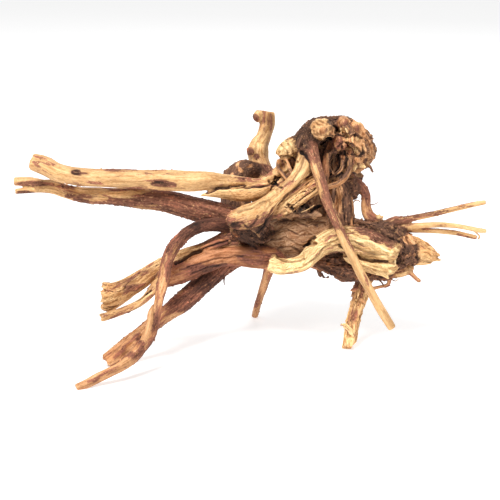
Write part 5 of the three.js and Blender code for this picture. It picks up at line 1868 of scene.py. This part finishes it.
class SkinPlaces:
    """The finished skin's places, and how it faces and looks at each."""

    def __init__(self):
        meshes = [bpy.data.objects[name].data for name in SKIN_PIECES]
        self.points = np.concatenate([coordinates(mesh) for mesh in meshes]) / MM
        self.facing = np.concatenate([normals(mesh) for mesh in meshes])
        self.looks = {
            name: np.concatenate([read_look(mesh, name) for mesh in meshes]) for name in LOOK_KINDS
        }
        self.tree = search_tree(self.points)

    def some(self, chance, count, share):
        """Places picked at random, each as likely as its share says."""
        for cut in SKIN_CUTS:
            share = share * (np.abs(self.points[:, 0] - cut) > CUT_MARGIN)
        return chance.choice(len(share), count, replace=False, p=share / share.sum())

    def finish(self, bm, name, hosts, tones):
        """Makes the shapes a piece of the root, each coloured as the skin it grows from."""
        mesh = bpy.data.meshes.new(name)
        bm.to_mesh(mesh)
        bm.free()
        low, high = (np.array(corner) for corner in CAD_BOX)
        set_coordinates(mesh, np.clip(coordinates(mesh), low, high))
        hosts = np.array(hosts)
        changes = {"grain": coordinates(mesh) / MM - self.points[hosts], "tone": tones}
        for look, values in self.looks.items():
            put_look(mesh, look, values[hosts] + changes.get(look, 0))
        piece = add_object(name, mesh)
        finish_piece(piece, bpy.data.materials["root wood"], name)


def turned_pair(first, second, angle):
    """Two axes, turned toward the second one by the angle."""
    cos, sin = math.cos(angle), math.sin(angle)
    return first * cos + second * sin, second * cos - first * sin


def turned(along, out, tilt, roll):
    """Axes for a bit that lies along one way and faces another, tilted up and rolled aside."""
    along = along - out * (along @ out)
    along /= np.linalg.norm(along)
    side = np.cross(out, along)
    along, side = turned_pair(along, side, roll)
    along, out = turned_pair(along, out, tilt)
    return along, side, out


class Bits:
    """Many small closed prisms, made a few at a time, because a large mesh is slow to add to."""

    def __init__(self):
        self.batches = []
        self.hosts = []
        self.tones = []
        self.few = bmesh.new()

    def add(self, sides, taper, axes, sizes, middle, host, tone):
        """Adds one, with the given axes, and its sizes and middle in millimetres."""
        columns = [*(axis * size * MM for axis, size in zip(axes, sizes)), middle * MM]
        spot = Matrix([*np.column_stack(columns).tolist(), [0, 0, 0, 1]])
        made = bmesh.ops.create_cone(
            self.few, cap_ends=True, segments=sides,
            radius1=0.5, radius2=0.5 * taper, depth=1, matrix=spot,
        )
        count = len(made["verts"])
        self.hosts += [host] * count
        self.tones += [tone] * count
        if len(self.few.verts) > BATCH_POINTS:
            self._put_by()

    def _put_by(self):
        mesh = bpy.data.meshes.new("bits")
        self.few.to_mesh(mesh)
        self.few.free()
        self.batches.append(mesh)
        self.few = bmesh.new()

    def whole(self):
        self._put_by()
        bm = bmesh.new()
        for mesh in self.batches:
            bm.from_mesh(mesh)
            bpy.data.meshes.remove(mesh)
        return bm


class SPIDERWOOD_OT_bark_flakes(bpy.types.Operator):
    """Raise small flakes of bark from the rough bark"""

    bl_idname = "spiderwood.bark_flakes"
    bl_label = "Bark flakes"

    def execute(self, context):
        skin = SkinPlaces()
        looks = skin.looks
        chance = np.random.default_rng(FLAKE_SEED)
        share = FLAKES_ON_SMOOTH + np.maximum(looks["rough"] - 1, 0)
        share = step_up(looks["cover"], *FLAKE_COVER) * share * step_up(looks["clear"], *FLAKE_CLEAR)
        bits = Bits()
        for host in skin.some(chance, FLAKE_COUNT, share).tolist():
            length, width = chance.uniform(*FLAKE_LENGTH), chance.uniform(*FLAKE_WIDTH)
            tilt, roll = chance.uniform(*FLAKE_TILT), chance.normal(*FLAKE_ROLL)
            axes = turned(looks["ahead"][host], skin.facing[host], tilt, roll)
            middle = skin.points[host] + skin.facing[host] * chance.uniform(*FLAKE_LIFT)
            sizes = (length, width, chance.uniform(*FLAKE_THICKNESS))
            tone = chance.normal(*FLAKE_TONE)
            bits.add(FLAKE_SIDES, FLAKE_TAPER, axes, sizes, middle, host, tone)
        skin.finish(bits.whole(), "bark_flakes", bits.hosts, np.array(bits.tones))
        return {"FINISHED"}


class SPIDERWOOD_OT_splinters(bpy.types.Operator):
    """Raise fine splinters from the torn wood"""

    bl_idname = "spiderwood.splinters"
    bl_label = "Splinters"

    def execute(self, context):
        skin = SkinPlaces()
        looks = skin.looks
        chance = np.random.default_rng(SPLINTER_SEED)
        bare = 1 - step_up(looks["cover"], *SPLINTER_COVER)
        share = bare * np.maximum(looks["rough"] - SPLINTERS_FROM, 0)
        share = share + SPLINTERS_ON_CUTS * looks["cut"] * (looks["rough"] > ROUGH_CUT)
        share = share * step_up(looks["clear"], *SPLINTER_CLEAR)
        bits = Bits()
        for host in skin.some(chance, SPLINTER_COUNT, share).tolist():
            length, width = chance.uniform(*SPLINTER_LENGTH), chance.uniform(*SPLINTER_WIDTH)
            way = looks["ahead"][host] * chance.choice([-1, 1])
            if abs(way @ skin.facing[host]) > STEEPEST:
                way = np.cross(way, chance.normal(size=3))
            tilt, roll = chance.uniform(*SPLINTER_TILT), chance.normal(*SPLINTER_ROLL)
            along, side, out = turned(way, skin.facing[host], tilt, roll)
            middle = skin.points[host] + along * length * SPLINTER_RISE
            axes, sizes = (side, out, along), (width, width * SPLINTER_FLATNESS, length)
            tone = chance.normal(*SPLINTER_TONE)
            bits.add(SPLINTER_SIDES, SPLINTER_TAPER, axes, sizes, middle, host, tone)
        skin.finish(bits.whole(), "splinters", bits.hosts, np.array(bits.tones))
        return {"FINISHED"}


class SPIDERWOOD_OT_hair_roots(bpy.types.Operator):
    """Grow the hair roots"""

    bl_idname = "spiderwood.hair_roots"
    bl_label = "Hair roots"

    def execute(self, context):
        skin = SkinPlaces()
        bm = bmesh.new()
        for i, points in enumerate(HAIRS):
            hair = Strand(points, i * GOLDEN_ANGLE, HAIR_SPACING)
            hair.middle += skin.points[skin.tree.find(hair.middle[0])[1]] - hair.middle[0]
            tube(bm, hair, 0, HAIR_KNOBS, 1, HAIR_SIDES)
        mesh = closed_mesh(bm, "hairs")
        hosts = [skin.tree.find(point / MM)[1] for point in coordinates(mesh)]
        bm = bmesh.new()
        bm.from_mesh(mesh)
        skin.finish(bm, "hair_roots", hosts, HAIR_TONE)
        return {"FINISHED"}


class SPIDERWOOD_OT_stage(bpy.types.Operator):
    """Lay the floor, hang the lights and set the camera"""

    bl_idname = "spiderwood.stage"
    bl_label = "Stage"

    def execute(self, context):
        settings = context.scene.spiderwood
        bm = bmesh.new()
        bmesh.ops.create_grid(bm, x_segments=1, y_segments=1, size=FLOOR_SIZE / 2)
        mesh = bpy.data.meshes.new("floor")
        bm.to_mesh(mesh)
        bm.free()
        floor = add_object("floor", mesh)
        finish = Finish("floor")
        colour = (*linear(settings.floor), 1)
        inputs = {
            "Base Color": colour, "Roughness": FLOOR_ROUGHNESS, "Specular IOR Level": FLOOR_SPECULAR,
            "Emission Color": (1, 1, 1, 1), "Emission Strength": FLOOR_GLOW,
        }
        shader = finish.node("ShaderNodeBsdfPrincipled", None, inputs)
        finish.node("ShaderNodeOutputMaterial", None, {"Surface": shader})
        mesh.materials.append(finish.material)
        floor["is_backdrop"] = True
        for name, place_at, size, power in LIGHTS:
            light = bpy.data.lights.new(name, "AREA")
            light.size = size
            light.energy = power
            lamp = bpy.data.objects.new(name, light)
            lamp.location = place_at
            toward = Vector(LIT_PLACE) - Vector(place_at)
            lamp.rotation_euler = toward.to_track_quat("-Z", "Y").to_euler()
            context.scene.collection.objects.link(lamp)
        world = bpy.data.worlds.new("studio")
        world.use_nodes = True
        background = world.node_tree.nodes["Background"]
        background.inputs["Color"].default_value = (1, 1, 1, 1)
        background.inputs["Strength"].default_value = WORLD_LIGHT
        context.scene.world = world
        context.scene.view_settings.view_transform = "Standard"
        self.set_camera(context.scene)
        return {"FINISHED"}

    def set_camera(self, scene):
        lens = bpy.data.cameras.new("camera")
        lens.sensor_width = SENSOR_MM
        lens.lens = SENSOR_MM * VIEW_DISTANCE / IMAGE_PIXELS
        lens.clip_end = FARTHEST_SEEN
        camera = bpy.data.objects.new("camera", lens)
        camera.location = (MIDDLE - AWAY * VIEW_DISTANCE) * MM
        camera.rotation_euler = Vector(AWAY).to_track_quat("-Z", "Y").to_euler()
        scene.collection.objects.link(camera)
        scene.camera = camera


class SPIDERWOOD_PT_panel(bpy.types.Panel):
    """Lists the root's settings and steps"""

    bl_label = "Spiderwood root"
    bl_idname = "SPIDERWOOD_PT_panel"
    bl_space_type = "VIEW_3D"
    bl_region_type = "UI"
    bl_category = "Spiderwood"

    def draw(self, context):
        for name in SpiderwoodSettings.__annotations__:
            self.layout.prop(context.scene.spiderwood, name)
        for step in STEPS:
            self.layout.operator(step.bl_idname)


STEPS = (
    SPIDERWOOD_OT_skin, SPIDERWOOD_OT_bark_flakes, SPIDERWOOD_OT_splinters,
    SPIDERWOOD_OT_hair_roots, SPIDERWOOD_OT_stage,
)
CLASSES = (SpiderwoodSettings, *STEPS, SPIDERWOOD_PT_panel)


def register():
    for cls in CLASSES:
        bpy.utils.register_class(cls)
    bpy.types.Scene.spiderwood = bpy.props.PointerProperty(type=SpiderwoodSettings)


def unregister():
    del bpy.types.Scene.spiderwood
    for cls in reversed(CLASSES):
        bpy.utils.unregister_class(cls)


def main():
    register()
    bpy.ops.spiderwood.skin()
    bpy.ops.spiderwood.bark_flakes()
    bpy.ops.spiderwood.splinters()
    bpy.ops.spiderwood.hair_roots()
    bpy.ops.spiderwood.stage()
    boxes = {"cad": CAD_BOX, "visual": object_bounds()}
    sizes = {name: [list(corner) for corner in box] for name, box in boxes.items()}


if __name__ == "__main__":
    main()
